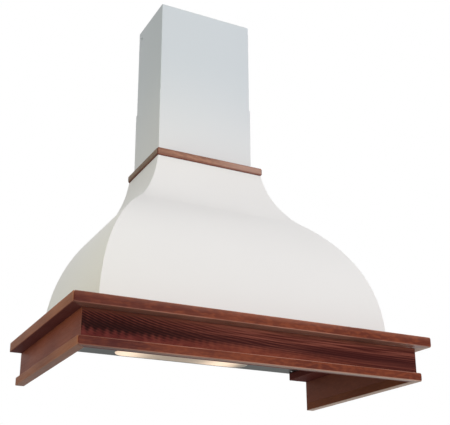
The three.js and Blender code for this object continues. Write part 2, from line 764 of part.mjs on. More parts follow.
// A bent strip: flat on the wall in the middle, with a leg inside each side of the chimney.
function addChimneyBracket() {
  const { half } = upperChimneySize();
  const legX = half - CHIMNEY_SHEET - FIT;
  const legEnd = -WALL_BRACKET_JOG - WALL_BRACKET_LEG;
  const rightLine = [
    [WALL_BRACKET_REACH, 0],
    [WALL_BRACKET_REACH + WALL_BRACKET_JOG, -WALL_BRACKET_JOG],
    [legX, -WALL_BRACKET_JOG],
    [legX, legEnd],
  ];
  const leftLine = rightLine.map(([x, y]) => [-x, y]).reverse();
  const line = [...leftLine, ...rightLine].reverse();
  const top = upperChimneyTop - WALL_BRACKET_DROP;
  const strip = plate(sheetOutline(line, WALL_BRACKET_THICK), top - WALL_BRACKET_HEIGHT, top);
  addPart("chimney_bracket", cut(strip, sideHole(-half, half)), GALVANISED);

  const [x, y, z] = chimneyScrewPlace();
  const length = CHIMNEY_SHEET + FIT + WALL_BRACKET_THICK + SCREW_PAST;
  const fastener = screwAlongMinusX(length).translate(x + FIT, y, z);
  addPair("chimney_screw", fastener, PAINT_CHIMNEY);
}

// ---------------------------------------------------------------- outlet with check flaps
function flapLevel() {
  return chimneyBase + LIP_HEIGHT + FIT;
}

function addOutlet() {
  const inner = outletRadius - OUTLET_WALL;
  const lipTop = LIP_HEIGHT;
  const ring = turned(
    [
      [inner, 0],
      [outletRadius + OUTLET_FLANGE, 0],
      [outletRadius + OUTLET_FLANGE, OUTLET_FLANGE_THICK],
      [outletRadius, OUTLET_FLANGE_THICK],
      [outletRadius, OUTLET_HEIGHT],
      [inner, OUTLET_HEIGHT],
      [inner, lipTop],
      [inner - LIP_WIDTH, lipTop],
      [inner - LIP_WIDTH, lipTop - LIP_THICK],
      [inner, lipTop - LIP_THICK],
      [inner, 0],
    ],
    SIDES
  );
  const barEnd = inner - LIP_WIDTH / 2;
  const half = BAR_WIDTH / 2;
  const bar = block(-barEnd, barEnd, -half, half, lipTop - LIP_THICK, lipTop);
  const spigot = join(ring, bar).translate(0, -outletBack, chimneyBase);
  addPart("outlet_spigot", spigot, DARK_PLASTIC);
}

// Half a disc with a rolled edge along its hinge line. The front one is drawn.
function addCheckFlaps() {
  const rim = outletRadius - OUTLET_WALL - FLAP_GAP;
  const straight = FLAP_OFFSET;
  const start = Math.asin(straight / rim);
  const points = [];
  for (let i = 0; i <= SMALL_SIDES; i++) {
    const angle = Math.PI + start + ((Math.PI - 2 * start) * i) / SMALL_SIDES;
    points.push(new THREE.Vector2(rim * Math.cos(angle), rim * Math.sin(angle)));
  }
  const hinge = rim * Math.cos(start);
  const barrel = turnedAlongX(
    [[0, -hinge], [FLAP_BARREL, -hinge], [FLAP_BARREL, hinge], [0, hinge]],
    SMALL_SIDES / 2
  ).translate(0, -straight, FLAP_BARREL);
  const front = join(plate(points, 0, FLAP_THICK), barrel);
  const rear = closed(front.clone().scale(1, -1, 1));
  addPart("check_flap_front", front, WHITE_PLASTIC, [0, -outletBack, flapLevel()]);
  addPart("check_flap_rear", rear, WHITE_PLASTIC, [0, -outletBack, flapLevel()]);
}

// ---------------------------------------------------------------- blower
// The scroll's outline in the YZ plane, moved outwards by grow. It starts at the tongue
// above the shaft, runs forward, down and back, and rises straight along the wall side.
function scrollOutline(grow, top) {
  const points = [];
  for (let i = 0; i <= SCROLL_STEPS; i++) {
    const share = i / SCROLL_STEPS;
    const angle = Math.PI / 2 + 1.5 * Math.PI * share;
    const radius = SCROLL_START + (SCROLL_END - SCROLL_START) * share + grow;
    const y = -FAN_BACK + radius * Math.cos(angle);
    points.push(new THREE.Vector2(y, fanHeight + radius * Math.sin(angle)));
  }
  points.push(new THREE.Vector2(-FAN_BACK + SCROLL_END + grow, top));
  points.push(new THREE.Vector2(-MOUTH_FRONT - grow, top));
  points.push(new THREE.Vector2(-MOUTH_FRONT - grow, fanHeight + SCROLL_START + grow));
  return points;
}

function addBlowerHousing() {
  const top = neckPlateBottom - FIT;
  const outerHalf = SCROLL_HALF_WIDTH + SCROLL_WALL;
  const shell = plateAcrossX(scrollOutline(SCROLL_WALL, top), -outerHalf, outerHalf);
  const flange = block(
    -outerHalf - MOUTH_FLANGE,
    outerHalf + MOUTH_FLANGE,
    -MOUTH_FRONT - MOUTH_FLANGE,
    -FAN_BACK + SCROLL_END + MOUTH_FLANGE,
    top - SCROLL_WALL,
    top
  );
  const hollow = plateAcrossX(
    scrollOutline(0, top + CUT_PAST),
    -SCROLL_HALF_WIDTH,
    SCROLL_HALF_WIDTH
  );
  const end = outerHalf + CUT_PAST;
  const inlets = turnedAlongX([[0, -end], [INLET_RADIUS, -end], [INLET_RADIUS, end], [0, end]],
    SIDES).translate(0, -FAN_BACK, fanHeight);
  addPart("blower_housing", cut(join(shell, flange), hollow, inlets), GALVANISED);
}

// A drum of forward-curved blades on a middle disc, open at both ends.
function impeller() {
  const inside = FAN_RADIUS - FAN_RING;
  const ringAt = (x) =>
    turnedAlongX(
      [
        [inside, x],
        [FAN_RADIUS, x],
        [FAN_RADIUS, x + FAN_RING_THICK],
        [inside, x + FAN_RING_THICK],
        [inside, x],
      ],
      SIDES
    );
  const halfDisc = FAN_DISC_THICK / 2;
  const disc = turnedAlongX(
    [
      [SHAFT_RADIUS + FIT, -HUB_HALF_LENGTH],
      [HUB_RADIUS, -HUB_HALF_LENGTH],
      [HUB_RADIUS, -halfDisc],
      [FAN_RADIUS, -halfDisc],
      [FAN_RADIUS, halfDisc],
      [HUB_RADIUS, halfDisc],
      [HUB_RADIUS, HUB_HALF_LENGTH],
      [SHAFT_RADIUS + FIT, HUB_HALF_LENGTH],
      [SHAFT_RADIUS + FIT, -HUB_HALF_LENGTH],
    ],
    SIDES
  );
  const pieces = [disc, ringAt(-FAN_HALF_LENGTH), ringAt(FAN_HALF_LENGTH - FAN_RING_THICK)];
  const lean = THREE.MathUtils.degToRad(BLADE_LEAN);
  const halfChord = FAN_RING / 2 - BLADE_INSET;
  const bladeEnd = FAN_HALF_LENGTH - FAN_RING_THICK / 2;
  for (let i = 0; i < BLADE_COUNT; i++) {
    const blade = block(
      -bladeEnd,
      bladeEnd,
      -halfChord,
      halfChord,
      -BLADE_THICK / 2,
      BLADE_THICK / 2
    );
    blade.rotateX(lean);
    blade.translate(0, FAN_RADIUS - FAN_RING / 2, 0);
    blade.rotateX((2 * Math.PI * i) / BLADE_COUNT);
    pieces.push(blade);
  }
  return join(...pieces);
}

function addFan() {
  const place = [0, -FAN_BACK, fanHeight];
  addPart("impeller", impeller(), ALUMINIUM, place);

  const motorRight = -HUB_HALF_LENGTH - MOTOR_GAP;
  const motorLeft = motorRight - MOTOR_LENGTH;
  const spiderRight = -SCROLL_HALF_WIDTH - SCROLL_WALL - FIT;
  const bore = SHAFT_RADIUS + FIT;
  const bossLeft = spiderRight + FIT;
  const motor = turnedAlongX(
    [
      [0, bossLeft],
      [MOTOR_BOSS, bossLeft],
      [MOTOR_BOSS, motorLeft],
      [MOTOR_RADIUS, motorLeft],
      [MOTOR_RADIUS, motorRight],
      [bore, motorRight],
      [bore, motorRight - SHAFT_BORE_DEPTH],
      [0, motorRight - SHAFT_BORE_DEPTH],
    ],
    SIDES
  );
  addPart("motor", motor, DARK_PLASTIC, place);

  const shaftLeft = motorRight - SHAFT_BORE_DEPTH + FIT;
  const shaftRight = HUB_HALF_LENGTH + SHAFT_PAST;
  const shaft = turnedAlongX(
    [[0, shaftLeft], [SHAFT_RADIUS, shaftLeft], [SHAFT_RADIUS, shaftRight], [0, shaftRight]],
    SMALL_SIDES
  );
  addPart("motor_shaft", shaft, BRIGHT_STEEL, place);
  addPart("motor_bracket", spider(spiderRight), GALVANISED, place);
}

// Three arms that carry the motor from the rim of the left inlet.
function spider(right) {
  const left = right - SPIDER_THICK;
  const disc = turnedAlongX([[0, left], [SPIDER_HUB, left], [SPIDER_HUB, right], [0, right]],
    SIDES);
  const reach = INLET_RADIUS + SPIDER_OVERLAP;
  const arms = [0, 1, 2].map((i) =>
    block(left, right, -SPIDER_ARM / 2, SPIDER_ARM / 2, 0, reach).rotateX((2 * Math.PI * i) / 3)
  );
  return join(disc, ...arms);
}

// ---------------------------------------------------------------- steel tray
// The right-hand filter fills the tray between the lamp cover and the controls.
function filterPlan() {
  return {
    x0: FILTER_SPACING / 2,
    x1: trayHalf - FILTER_SIDE_BAND,
    y0: controlBand().y1 + FILTER_CONTROL_GAP,
    y1: -DIFFUSER_BACK - DIFFUSER_WIDTH - FILTER_LAMP_GAP,
  };
}

function filterOpening() {
  const { x0, x1, y0, y1 } = filterPlan();
  return {
    x0: x0 - FILTER_SIDE_GAP,
    x1: x1 + FILTER_SIDE_GAP,
    y0: y0 - FILTER_SIDE_GAP,
    y1: y1 + FILTER_REAR_GAP,
  };
}

function diffuserMiddle() {
  return -DIFFUSER_BACK - DIFFUSER_WIDTH / 2;
}

function controlBand() {
  const front = CONTROL_FRONT - trayFront;
  return { y0: front, y1: front + BEZEL_WIDTH, middle: front + BEZEL_WIDTH / 2 };
}

function buttonPlaces() {
  const first = (-BUTTON_PITCH * (BUTTON_COUNT - 1)) / 2;
  return Array.from({ length: BUTTON_COUNT }, (_, i) => first + i * BUTTON_PITCH);
}

function controlHalfLength() {
  return (BUTTON_PITCH * (BUTTON_COUNT - 1)) / 2 + BEZEL_END;
}

function addTray() {
  const plan = rectangle(-trayHalf, trayHalf, -trayFront, -trayRear);
  const flangeHalf = trayHalf + TRAY_FLANGE;
  const flangeFront = trayFront + TRAY_FLANGE;
  const pan = plate(plan, trayBottom, flangeTop);
  const flange = block(-flangeHalf, flangeHalf, -flangeFront, -trayRear, flangeBottom, flangeTop);
  const inside = block(
    TRAY_SHEET - trayHalf,
    trayHalf - TRAY_SHEET,
    TRAY_SHEET - trayFront,
    -trayRear - TRAY_SHEET,
    trayTop,
    flangeTop + CUT_PAST
  );
  const opening = filterOpening();
  const lipTop = trayTop + LIP_RISE;
  const [low, high] = [trayBottom - CUT_PAST, lipTop + CUT_PAST];
  const filterLip = block(
    opening.x0 - TRAY_SHEET,
    opening.x1 + TRAY_SHEET,
    opening.y0 - TRAY_SHEET,
    opening.y1 + TRAY_SHEET,
    trayBottom,
    lipTop
  );
  const filterHole = block(opening.x0, opening.x1, opening.y0, opening.y1, low, high);
  const around = 2 * DIFFUSER_GAP;
  const lampOutline = stadium(
    DIFFUSER_LENGTH + around,
    DIFFUSER_WIDTH + around,
    diffuserMiddle()
  );
  const band = controlBand();
  const controlHalf = controlHalfLength() - BEZEL_MARGIN;
  const [holeFront, holeRear] = [band.y0 + BEZEL_MARGIN, band.y1 - BEZEL_MARGIN];
  const controlHole = block(-controlHalf, controlHalf, holeFront, holeRear, low, high);
  const hollowed = cut(join(pan, flange), inside);
  const stiffened = join(hollowed, filterLip, mirrored(filterLip));
  const screws = Object.keys(frameScrewPlaces());
  const holes = frameScrewHoles(screws, trayBottom, flangeTop + CUT_PAST);
  const tray = cut(
    stiffened,
    filterHole,
    mirrored(filterHole),
    plate(lampOutline, low, high),
    controlHole,
    ...holes
  );
  addPart("underside_tray", tray, STAINLESS);
}

// ---------------------------------------------------------------- grease filters
function filterLevels() {
  const bottom = trayBottom - FILTER_SHOWS;
  return { bottom, top: bottom + FILTER_THICK };
}

function latchSlot() {
  const { x0, x1, y0: front } = filterPlan();
  const y0 = front + FILTER_BORDER / 2 - LATCH_NECK_LENGTH;
  return {
    x: (x0 + x1) / 2,
    half: LATCH_NECK_WIDTH / 2 + FIT,
    y0,
    y1: y0 + LATCH_NECK_LENGTH + LATCH_TRAVEL + 2 * FIT,
  };
}

function filterFrame() {
  const { bottom, top } = filterLevels();
  const { x0, x1, y0, y1 } = filterPlan();
  const opening = filterOpening();
  const tabBottom = Math.max(trayTop + LIP_RISE, top) + FIT;
  const middle = (x0 + x1) / 2;
  const tabs = [-TAB_SPREAD, TAB_SPREAD].map((shift) => {
    const left = middle + shift - TAB_WIDTH / 2;
    const right = left + TAB_WIDTH;
    return join(
      block(left, right, y1 - TAB_REACH, opening.y1 + TAB_REACH, tabBottom, tabBottom + TAB_THICK),
      block(left, right, y1 - TAB_REACH, y1 - TAB_REACH / 2, bottom, tabBottom + TAB_THICK)
    );
  });
  const [low, high] = [bottom - CUT_PAST, top + CUT_PAST];
  const window = block(
    x0 + FILTER_BORDER,
    x1 - FILTER_BORDER,
    y0 + FILTER_BORDER,
    y1 - FILTER_BORDER,
    low,
    high
  );
  const slot = latchSlot();
  const [slotLeft, slotRight] = [slot.x - slot.half, slot.x + slot.half];
  const slotHole = block(slotLeft, slotRight, slot.y0, slot.y1, low, high);
  return cut(join(block(x0, x1, y0, y1, bottom, top), ...tabs), window, slotHole);
}

// Pleated mesh, drawn as a folded sheet whose folds run from back to front.
function filterMesh() {
  const { bottom, top } = filterLevels();
  const plan = filterPlan();
  const inset = FILTER_BORDER + FIT;
  const pleat = (plan.x1 - plan.x0 - 2 * inset) / (2 * PLEAT_COUNT);
  const low = (bottom + top - PLEAT_DEPTH - PLEAT_SHEET) / 2;
  const under = [];
  for (let i = 0; i <= 2 * PLEAT_COUNT; i++) {
    under.push([plan.x0 + inset + i * pleat, low + (i % 2 ? PLEAT_DEPTH : 0)]);
  }
  const over = under.map(([x, z]) => [x, z + PLEAT_SHEET]).reverse();
  const shape = new THREE.Shape([...under, ...over].map(([x, z]) => new THREE.Vector2(x, z)));
  const length = plan.y1 - plan.y0 - 2 * inset;
  const folded = new THREE.ExtrudeGeometry(shape, { depth: length, bevelEnabled: false });
  return folded.rotateX(Math.PI / 2).translate(0, plan.y1 - inset, 0);
}

// A knob below the filter, a neck through its border and a bolt above it.
function filterLatch() {
  const { bottom, top } = filterLevels();
  const slot = latchSlot();
  const neckY0 = slot.y0 + FIT;
  const neckY1 = neckY0 + LATCH_NECK_LENGTH;
  const knobTop = bottom - FIT;
  const knobFront = neckY0 - LATCH_OVERHANG;
  const knobRear = knobFront + LATCH_LENGTH;
  const knobBottom = knobTop - LATCH_THICK;
  const [knobLeft, knobRight] = [slot.x - LATCH_WIDTH / 2, slot.x + LATCH_WIDTH / 2];
  const neckHalf = LATCH_NECK_WIDTH / 2;
  const boltBottom = Math.max(trayTop + LIP_RISE, top) + FIT;
  const boltTop = boltBottom + LATCH_BOLT_THICK;
  const boltHalf = LATCH_BOLT_WIDTH / 2;
  const boltFront = filterOpening().y0 + 2 * FIT;
  const outline = rounded([
    [knobLeft, knobFront, LATCH_ROUND],
    [knobRight, knobFront, LATCH_ROUND],
    [knobRight, knobRear, LATCH_ROUND],
    [knobLeft, knobRear, LATCH_ROUND],
  ]);
  return join(
    plate(outline, knobBottom, knobTop),
    block(slot.x - neckHalf, slot.x + neckHalf, neckY0, neckY1, knobBottom, boltTop),
    block(slot.x - boltHalf, slot.x + boltHalf, boltFront, neckY1, boltBottom, boltTop)
  );
}

function addFilters() {
  addPair("filter_frame", filterFrame(), ALUMINIUM);
  addPair("filter_mesh", filterMesh(), ALUMINIUM);
  addPair("filter_latch", filterLatch(), DARK_PLASTIC);
}

// ---------------------------------------------------------------- lamp
function addLamp() {
  const middle = diffuserMiddle();
  const bottom = trayBottom - DIFFUSER_SHOWS;
  const top = bottom + DIFFUSER_DEPTH;
  const shrink = 2 * DIFFUSER_WALL;
  const cover = cut(
    plate(stadium(DIFFUSER_LENGTH, DIFFUSER_WIDTH, middle), bottom, top),
    plate(stadium(DIFFUSER_LENGTH - shrink, DIFFUSER_WIDTH - shrink, middle),
      bottom + DIFFUSER_WALL, top + CUT_PAST)
  );
  addPart("lamp_cover", cover, LAMP_COVER);

  const half = DIFFUSER_LENGTH / 2 + LAMP_BOX_MARGIN;
  const boxBottom = trayTop + FIT;
  const boxTop = boxBottom + LAMP_BOX_HEIGHT;
  const y0 = middle - DIFFUSER_WIDTH / 2 - LAMP_BOX_MARGIN;
  const y1 = middle + DIFFUSER_WIDTH / 2 + LAMP_BOX_MARGIN;
  const wall = LAMP_BOX_SHEET;
  const low = boxBottom - CUT_PAST;
  const reflector = cut(
    block(-half, half, y0, y1, boxBottom, boxTop),
    block(wall - half, half - wall, y0 + wall, y1 - wall, low, boxTop - wall)
  );
  addPart("lamp_housing", reflector, BRIGHT_STEEL);
  addBulbs(half - wall, middle, (boxBottom + boxTop) / 2);
}

// Screw-cap bulbs lie along X, one from each end of the lamp housing.
function addBulbs(wallX, y, z) {
  const mouth = wallX - FIT - HOLDER_LENGTH;
  const boreFloor = mouth + BULB_CAP_LENGTH + FIT;
  const bore = BULB_CAP + FIT;
  const holder = turnedAlongX(
    [
      [0, boreFloor],
      [bore, boreFloor],
      [bore, mouth],
      [HOLDER_RADIUS, mouth],
      [HOLDER_RADIUS, wallX - FIT],
      [0, wallX - FIT],
    ],
    SMALL_SIDES
  ).translate(0, y, z);
  addPair("lamp_holder", closed(holder), WHITE_PLASTIC);

  const capEnd = mouth + BULB_CAP_LENGTH;
  const glassEnd = mouth - FIT;
  const tip = glassEnd - BULB_LENGTH;
  const candle = new THREE.CubicBezierCurve(
    new THREE.Vector2(0, tip),
    new THREE.Vector2(BULB_TIP, tip),
    new THREE.Vector2(BULB_BELLY, glassEnd),
    new THREE.Vector2(BULB_CAP, glassEnd)
  ).getPoints(SMALL_SIDES / 2);
  const profile = [...candle.map(({ x, y: height }) => [x, height]), [BULB_CAP, capEnd],
    [0, capEnd]];
  const bulb = turnedAlongX(profile, SMALL_SIDES).translate(0, y, z);
  addPair("bulb", closed(bulb), BULB_GLASS);
}

// ---------------------------------------------------------------- controls
function addControls() {
  const { y0, y1, middle } = controlBand();
  const half = controlHalfLength();
  const bezelTop = trayBottom - FIT;
  const bezelBottom = bezelTop - BEZEL_THICK;
  const hole = BUTTON_RADIUS + BUTTON_GAP;
  const places = buttonPlaces();
  const outline = rounded([
    [-half, y0, BEZEL_ROUND],
    [half, y0, BEZEL_ROUND],
    [half, y1, BEZEL_ROUND],
    [-half, y1, BEZEL_ROUND],
  ]);
  const holes = places.map((x) => circle(x, middle, hole));
  addPart("control_bezel", plate(outline, bezelBottom, bezelTop, holes), DARK_PLASTIC);

  const collarBottom = bezelTop + FIT;
  const collarTop = collarBottom + BUTTON_COLLAR;
  const collarRadius = BUTTON_RADIUS + BUTTON_COLLAR;
  const stemTop = collarTop + BUTTON_STEM;
  const blockBottom = trayTop + FIT;
  const stepTop = collarTop + BUTTON_TRAVEL + FIT;
  const boreTop = stemTop + BUTTON_TRAVEL + FIT;
  const socket = turned(
    [
      [0, blockBottom - CUT_PAST],
      [collarRadius + BUTTON_GAP, blockBottom - CUT_PAST],
      [collarRadius + BUTTON_GAP, stepTop],
      [hole, stepTop],
      [hole, boreTop],
      [0, boreTop],
    ],
    SMALL_SIDES
  );
  const switchBody = block(
    SWITCH_MARGIN - half,
    half - SWITCH_MARGIN,
    y0 + SWITCH_MARGIN,
    y1 - SWITCH_MARGIN,
    blockBottom,
    boreTop + SWITCH_ROOF
  );
  const sockets = places.map((x) => socket.clone().translate(x, middle, 0));
  addPart("switch_block", cut(switchBody, ...sockets), DARK_PLASTIC);

  const buttonBottom = bezelBottom - BUTTON_SHOWS;
  const button = turned(
    [
      [0, buttonBottom],
      [BUTTON_RADIUS - BUTTON_EDGE, buttonBottom],
      [BUTTON_RADIUS, buttonBottom + BUTTON_EDGE],
      [BUTTON_RADIUS, collarBottom],
      [collarRadius, collarBottom],
      [collarRadius, collarTop],
      [BUTTON_RADIUS, collarTop],
      [BUTTON_RADIUS, stemTop],
      [0, stemTop],
    ],
    SMALL_SIDES
  );
  const names = ["button_off", "button_speed_1", "button_speed_2", "button_speed_3",
    "button_light"];
  places.forEach((x, i) => {
    addPart(names[i] ?? `button_${i + 1}`, button.clone(), GREY_PLASTIC, [x, middle, 0]);
  });
}

// ---------------------------------------------------------------- wiring
function addWiring() {
  const x1 = TERMINAL_SIDE + TERMINAL_WIDTH;
  const front = -trayRear - TERMINAL_DEPTH;
  const top = TERMINAL_LIFT + TERMINAL_HEIGHT;
  const box = block(TERMINAL_SIDE, x1, front, -trayRear, TERMINAL_LIFT, top);
  addPart("terminal_box", box, DARK_PLASTIC);

  const base = top + FIT;
  const gland = turned(
    [
      [GLAND_BORE, base],
      [GLAND_RADIUS, base],
      [GLAND_RADIUS, base + GLAND_NUT],
      [GLAND_NOSE, base + GLAND_HEIGHT],
      [GLAND_BORE, base + GLAND_HEIGHT],
      [GLAND_BORE, base],
    ],
    SMALL_SIDES
  );
  const place = [(TERMINAL_SIDE + x1) / 2, (front - trayRear) / 2, 0];
  addPart("cable_gland", gland, GREY_PLASTIC, place);
}

addWoodFrame();
addFrameHardware();
addBell();
addBackPanel();
addNeckPlate();
addCollar();
addChimney();
addChimneyBracket();
addOutlet();
addCheckFlaps();
addBlowerHousing();
addFan();
addTray();
addFilters();
addLamp();
addControls();
addWiring();

export default hood;
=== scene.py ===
# %% [markdown]
# # A chimney range hood with a wooden cornice
#
# This lesson dresses a finished construction. The frame that is loaded first holds every piece
# at its real size, in metres, with +Z up, +Y into the wall and the origin on the wall between
# the two hanging slots. Blender adds what the eye needs: rounded arrises, smooth curves, the
# fine detail of the filters and the lamp, and a finish for every surface.

# %% Load the frame
import math

import bmesh
import bpy
from mathutils import Matrix, Vector
from mathutils.geometry import interpolate_bezier


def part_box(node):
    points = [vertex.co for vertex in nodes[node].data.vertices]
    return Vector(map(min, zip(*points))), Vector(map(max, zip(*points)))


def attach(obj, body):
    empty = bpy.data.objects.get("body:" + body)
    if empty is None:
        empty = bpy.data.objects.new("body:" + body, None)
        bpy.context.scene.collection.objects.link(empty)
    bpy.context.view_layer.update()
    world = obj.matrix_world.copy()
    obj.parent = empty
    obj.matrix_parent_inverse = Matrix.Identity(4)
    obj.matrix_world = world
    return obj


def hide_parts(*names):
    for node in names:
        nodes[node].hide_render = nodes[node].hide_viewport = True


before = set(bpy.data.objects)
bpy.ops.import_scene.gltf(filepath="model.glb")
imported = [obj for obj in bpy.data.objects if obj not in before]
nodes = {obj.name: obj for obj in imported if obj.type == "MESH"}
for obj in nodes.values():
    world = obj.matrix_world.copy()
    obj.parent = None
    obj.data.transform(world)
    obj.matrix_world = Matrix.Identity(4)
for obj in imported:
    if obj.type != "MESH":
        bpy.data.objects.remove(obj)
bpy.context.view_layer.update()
MM = 0.001

# %% [markdown]
# ## Camera
#
# The photographer stood below and to the left of the hood and looked up at it. The camera's
# place, its two angles and its focal length come from fitting a pinhole camera to the corners
# of the cornice, the collar and the chimney. The picture was cropped off centre, so the
# optical axis meets it a little left of and below the middle: a small shift does the same.

# %% Camera
PICTURE_WIDTH = 450
PICTURE_HEIGHT = 425
FOCAL_PIXELS = 879.4
AXIS_COLUMN = 215
AXIS_ROW = 237.5
CAMERA_PLACE = Vector((-0.9450, -2.1373, -0.8091))
CAMERA_YAW = math.radians(26.40)  # from +Y towards +X
CAMERA_PITCH = math.radians(20.36)  # above the horizon


def add_object(name, data):
    made = bpy.data.objects.new(name, data)
    bpy.context.scene.collection.objects.link(made)
    return made


camera = add_object("camera", bpy.data.cameras.new("camera"))
bpy.context.scene.camera = camera
look = Vector((
    math.sin(CAMERA_YAW) * math.cos(CAMERA_PITCH),
    math.cos(CAMERA_YAW) * math.cos(CAMERA_PITCH),
    math.sin(CAMERA_PITCH),
))
camera.location = CAMERA_PLACE
camera.rotation_euler = look.to_track_quat("-Z", "Y").to_euler()
camera.data.lens = FOCAL_PIXELS / PICTURE_WIDTH * camera.data.sensor_width
camera.data.shift_x = (PICTURE_WIDTH / 2 - AXIS_COLUMN) / PICTURE_WIDTH
camera.data.shift_y = (AXIS_ROW - PICTURE_HEIGHT / 2) / PICTURE_WIDTH
bpy.context.scene.view_settings.view_transform = "Standard"
print("lens", round(camera.data.lens, 2), "mm")

# %% [markdown]
# ## Node trees as Python
#
# A finish is easier to read as an expression than as a row of linked boxes. `Flow` wraps one
# output socket and turns `+`, `-`, `*` and `/` into Math nodes. `Tree` has one method that adds
# any other node: its settings first, then a value or a flow for each input, under the input's
# own name. Materials, the world and the Geometry Nodes trees all use it.

# %% Flow and Tree
def operator(operation, swapped=False):
    """A method that puts a Math node in the place of a Python operator."""
    def method(flow, other):
        pair = (other, flow) if swapped else (flow, other)
        return flow.tree.maths(operation, *pair)
    return method


class Flow:
    """One output socket that can stand in a Python expression."""

    def __init__(self, tree, socket):
        self.tree = tree
        self.socket = socket

    def maths(self, operation, *others):
        return self.tree.maths(operation, self, *others)

    __add__ = __radd__ = operator("ADD")
    __sub__ = operator("SUBTRACT")
    __rsub__ = operator("SUBTRACT", swapped=True)
    __mul__ = operator("MULTIPLY")
    __truediv__ = operator("DIVIDE")


class Tree:
    """A node tree under construction."""

    def __init__(self, nodes_tree):
        self.nodes_tree = nodes_tree
        nodes_tree.nodes.clear()

    def node(self, kind, settings=None, sockets=None, out=0, **named):
        """A new node. Sockets go by number, or as keywords with _ for each space."""
        made = self.nodes_tree.nodes.new(kind)
        for key, value in (settings or {}).items():
            setattr(made, key, value)
        for key, value in (sockets or {}).items():
            self.feed(made.inputs[key], value)
        for key, value in named.items():
            self.feed(made.inputs[key.replace("_", " ")], value)
        return Flow(self, made.outputs[out]) if made.outputs else None

    def feed(self, socket, value):
        if isinstance(value, Flow):
            self.nodes_tree.links.new(value.socket, socket)
        elif isinstance(value, tuple) and len(value) == 3 and socket.type == "RGBA":
            socket.default_value = (*value, 1)
        else:
            socket.default_value = value

    def maths(self, operation, *values):
        return self.node("ShaderNodeMath", {"operation": operation}, dict(enumerate(values)))

    def point(self, x, y, z):
        return self.node("ShaderNodeCombineXYZ", X=x, Y=y, Z=z)

    def parts(self, point):
        """The x, y and z of a point, each as a flow."""
        split = self.node("ShaderNodeSeparateXYZ", Vector=point)
        return [Flow(self, socket) for socket in split.socket.node.outputs]


print("a tree can", [name for name in vars(Tree) if name[0] != "_"])

# %% [markdown]
# ## Finishes
#
# `Finish` is a tree that belongs to a material or to the world, with the few patterns that
# wood, paint and metal share: noise that can be stretched along the grain, a soft step, a
# colour mix and a relief. Patterns read Object coordinates, so they sit in the piece like
# real grain and don't slide in another view.

# %% Finish
def srgb(red, green, blue):
    """A colour as a picture shows it, 0 to 255, turned into linear light."""
    def linear(value):
        share = value / 255
        return share / 12.92 if share <= 0.04045 else ((share + 0.055) / 1.055) ** 2.4
    return (linear(red), linear(green), linear(blue))


class Finish(Tree):
    """The tree of a material, or of the world."""

    def __init__(self, name, owners=bpy.data.materials):
        self.owner = owners.new(name)
        self.owner.use_nodes = True
        super().__init__(self.owner.node_tree)

    def place(self):
        return self.node("ShaderNodeTexCoord", out="Object")

    def xyz(self):
        return self.parts(self.place())

    def noise(self, scale, stretch=(1, 1, 1), detail=2.0):
        """Noise from 0 to 1, with `scale` blobs in a metre, times `stretch` along each axis."""
        spot = self.node("ShaderNodeMapping", Vector=self.place(), Scale=stretch)
        return self.node("ShaderNodeTexNoise", Vector=spot, Scale=scale, Detail=detail)

    def step(self, value, low, high):
        """0 at low, 1 at high and a soft step between."""
        soft = {"interpolation_type": "SMOOTHSTEP"}
        return self.node("ShaderNodeMapRange", soft, Value=value, From_Min=low, From_Max=high)

    def mix(self, factor, first, second):
        sockets = {0: factor, 6: first, 7: second}
        return self.node("ShaderNodeMix", {"data_type": "RGBA"}, sockets, out=2)

    def attribute(self, name):
        return self.node("ShaderNodeAttribute", {"attribute_name": name}, out="Fac")

    def relief(self, height, depth, strength=0.5):
        return self.node(
            "ShaderNodeBump", out="Normal", Height=height, Distance=depth, Strength=strength)

    def shown(self):
        """1 for what the camera, gloss and glass see, and 0 for the light on matt surfaces."""
        camera_ray, glossy_ray, clear_ray = [
            self.node("ShaderNodeLightPath", out=f"Is {kind} Ray")
            for kind in ("Camera", "Glossy", "Transmission")]
        return camera_ray.maths("MAXIMUM", glossy_ray).maths("MAXIMUM", clear_ray)

    def done(self, **sockets):
        shader = self.node("ShaderNodeBsdfPrincipled", **sockets)
        self.node("ShaderNodeOutputMaterial", Surface=shader)
        return self.owner


print("a finish can also", [name for name in vars(Finish) if name[0] != "_"])

# %% [markdown]
# ## Light
#
# The hood was lit by one broad soft lamp in front of it and by a bright room. The world gives
# the room's even light. What the camera, the metal and the glass see of it is plain white,
# while matt surfaces get less, so that the lamps still model the shape. The main lamp stands a
# little to the right, which leaves the left flank in half shade. A weak warm lamp on the left
# lifts that flank towards its foot, as light that comes back from a wall does, and a weak lamp
# overhead brightens the bell's shoulders. The last lamp stands behind the hood: the photo shows
# nothing of it, but it gives the back and the right flank some light of their own.

# %% World
ROOM_LIGHT = (0.37, 0.377, 0.385)
WHITE = (1.0, 1.0, 1.0)

studio = Finish("white_studio", bpy.data.worlds)
room = studio.node("ShaderNodeBackground", Color=ROOM_LIGHT)
backdrop = studio.node("ShaderNodeBackground", Color=WHITE)
both = studio.node("ShaderNodeMixShader", sockets={0: studio.shown(), 1: room, 2: backdrop})
studio.node("ShaderNodeOutputWorld", Surface=both)
bpy.context.scene.world = studio.owner
print("world", studio.owner.name)

# %% Lamps
HOOD_MIDDLE = Vector((0, -0.25, 0.1))


def add_lamp(name, place, width, height, power, colour=WHITE):
    data = bpy.data.lights.new(name, "AREA")
    data.shape = "RECTANGLE"
    data.size, data.size_y = width, height
    data.energy = power
    data.color = colour
    lamp = add_object(name, data)
    lamp.location = place
    lamp.rotation_euler = (HOOD_MIDDLE - Vector(place)).to_track_quat("-Z", "Y").to_euler()
    print("lamp", name, power, "W at", place)


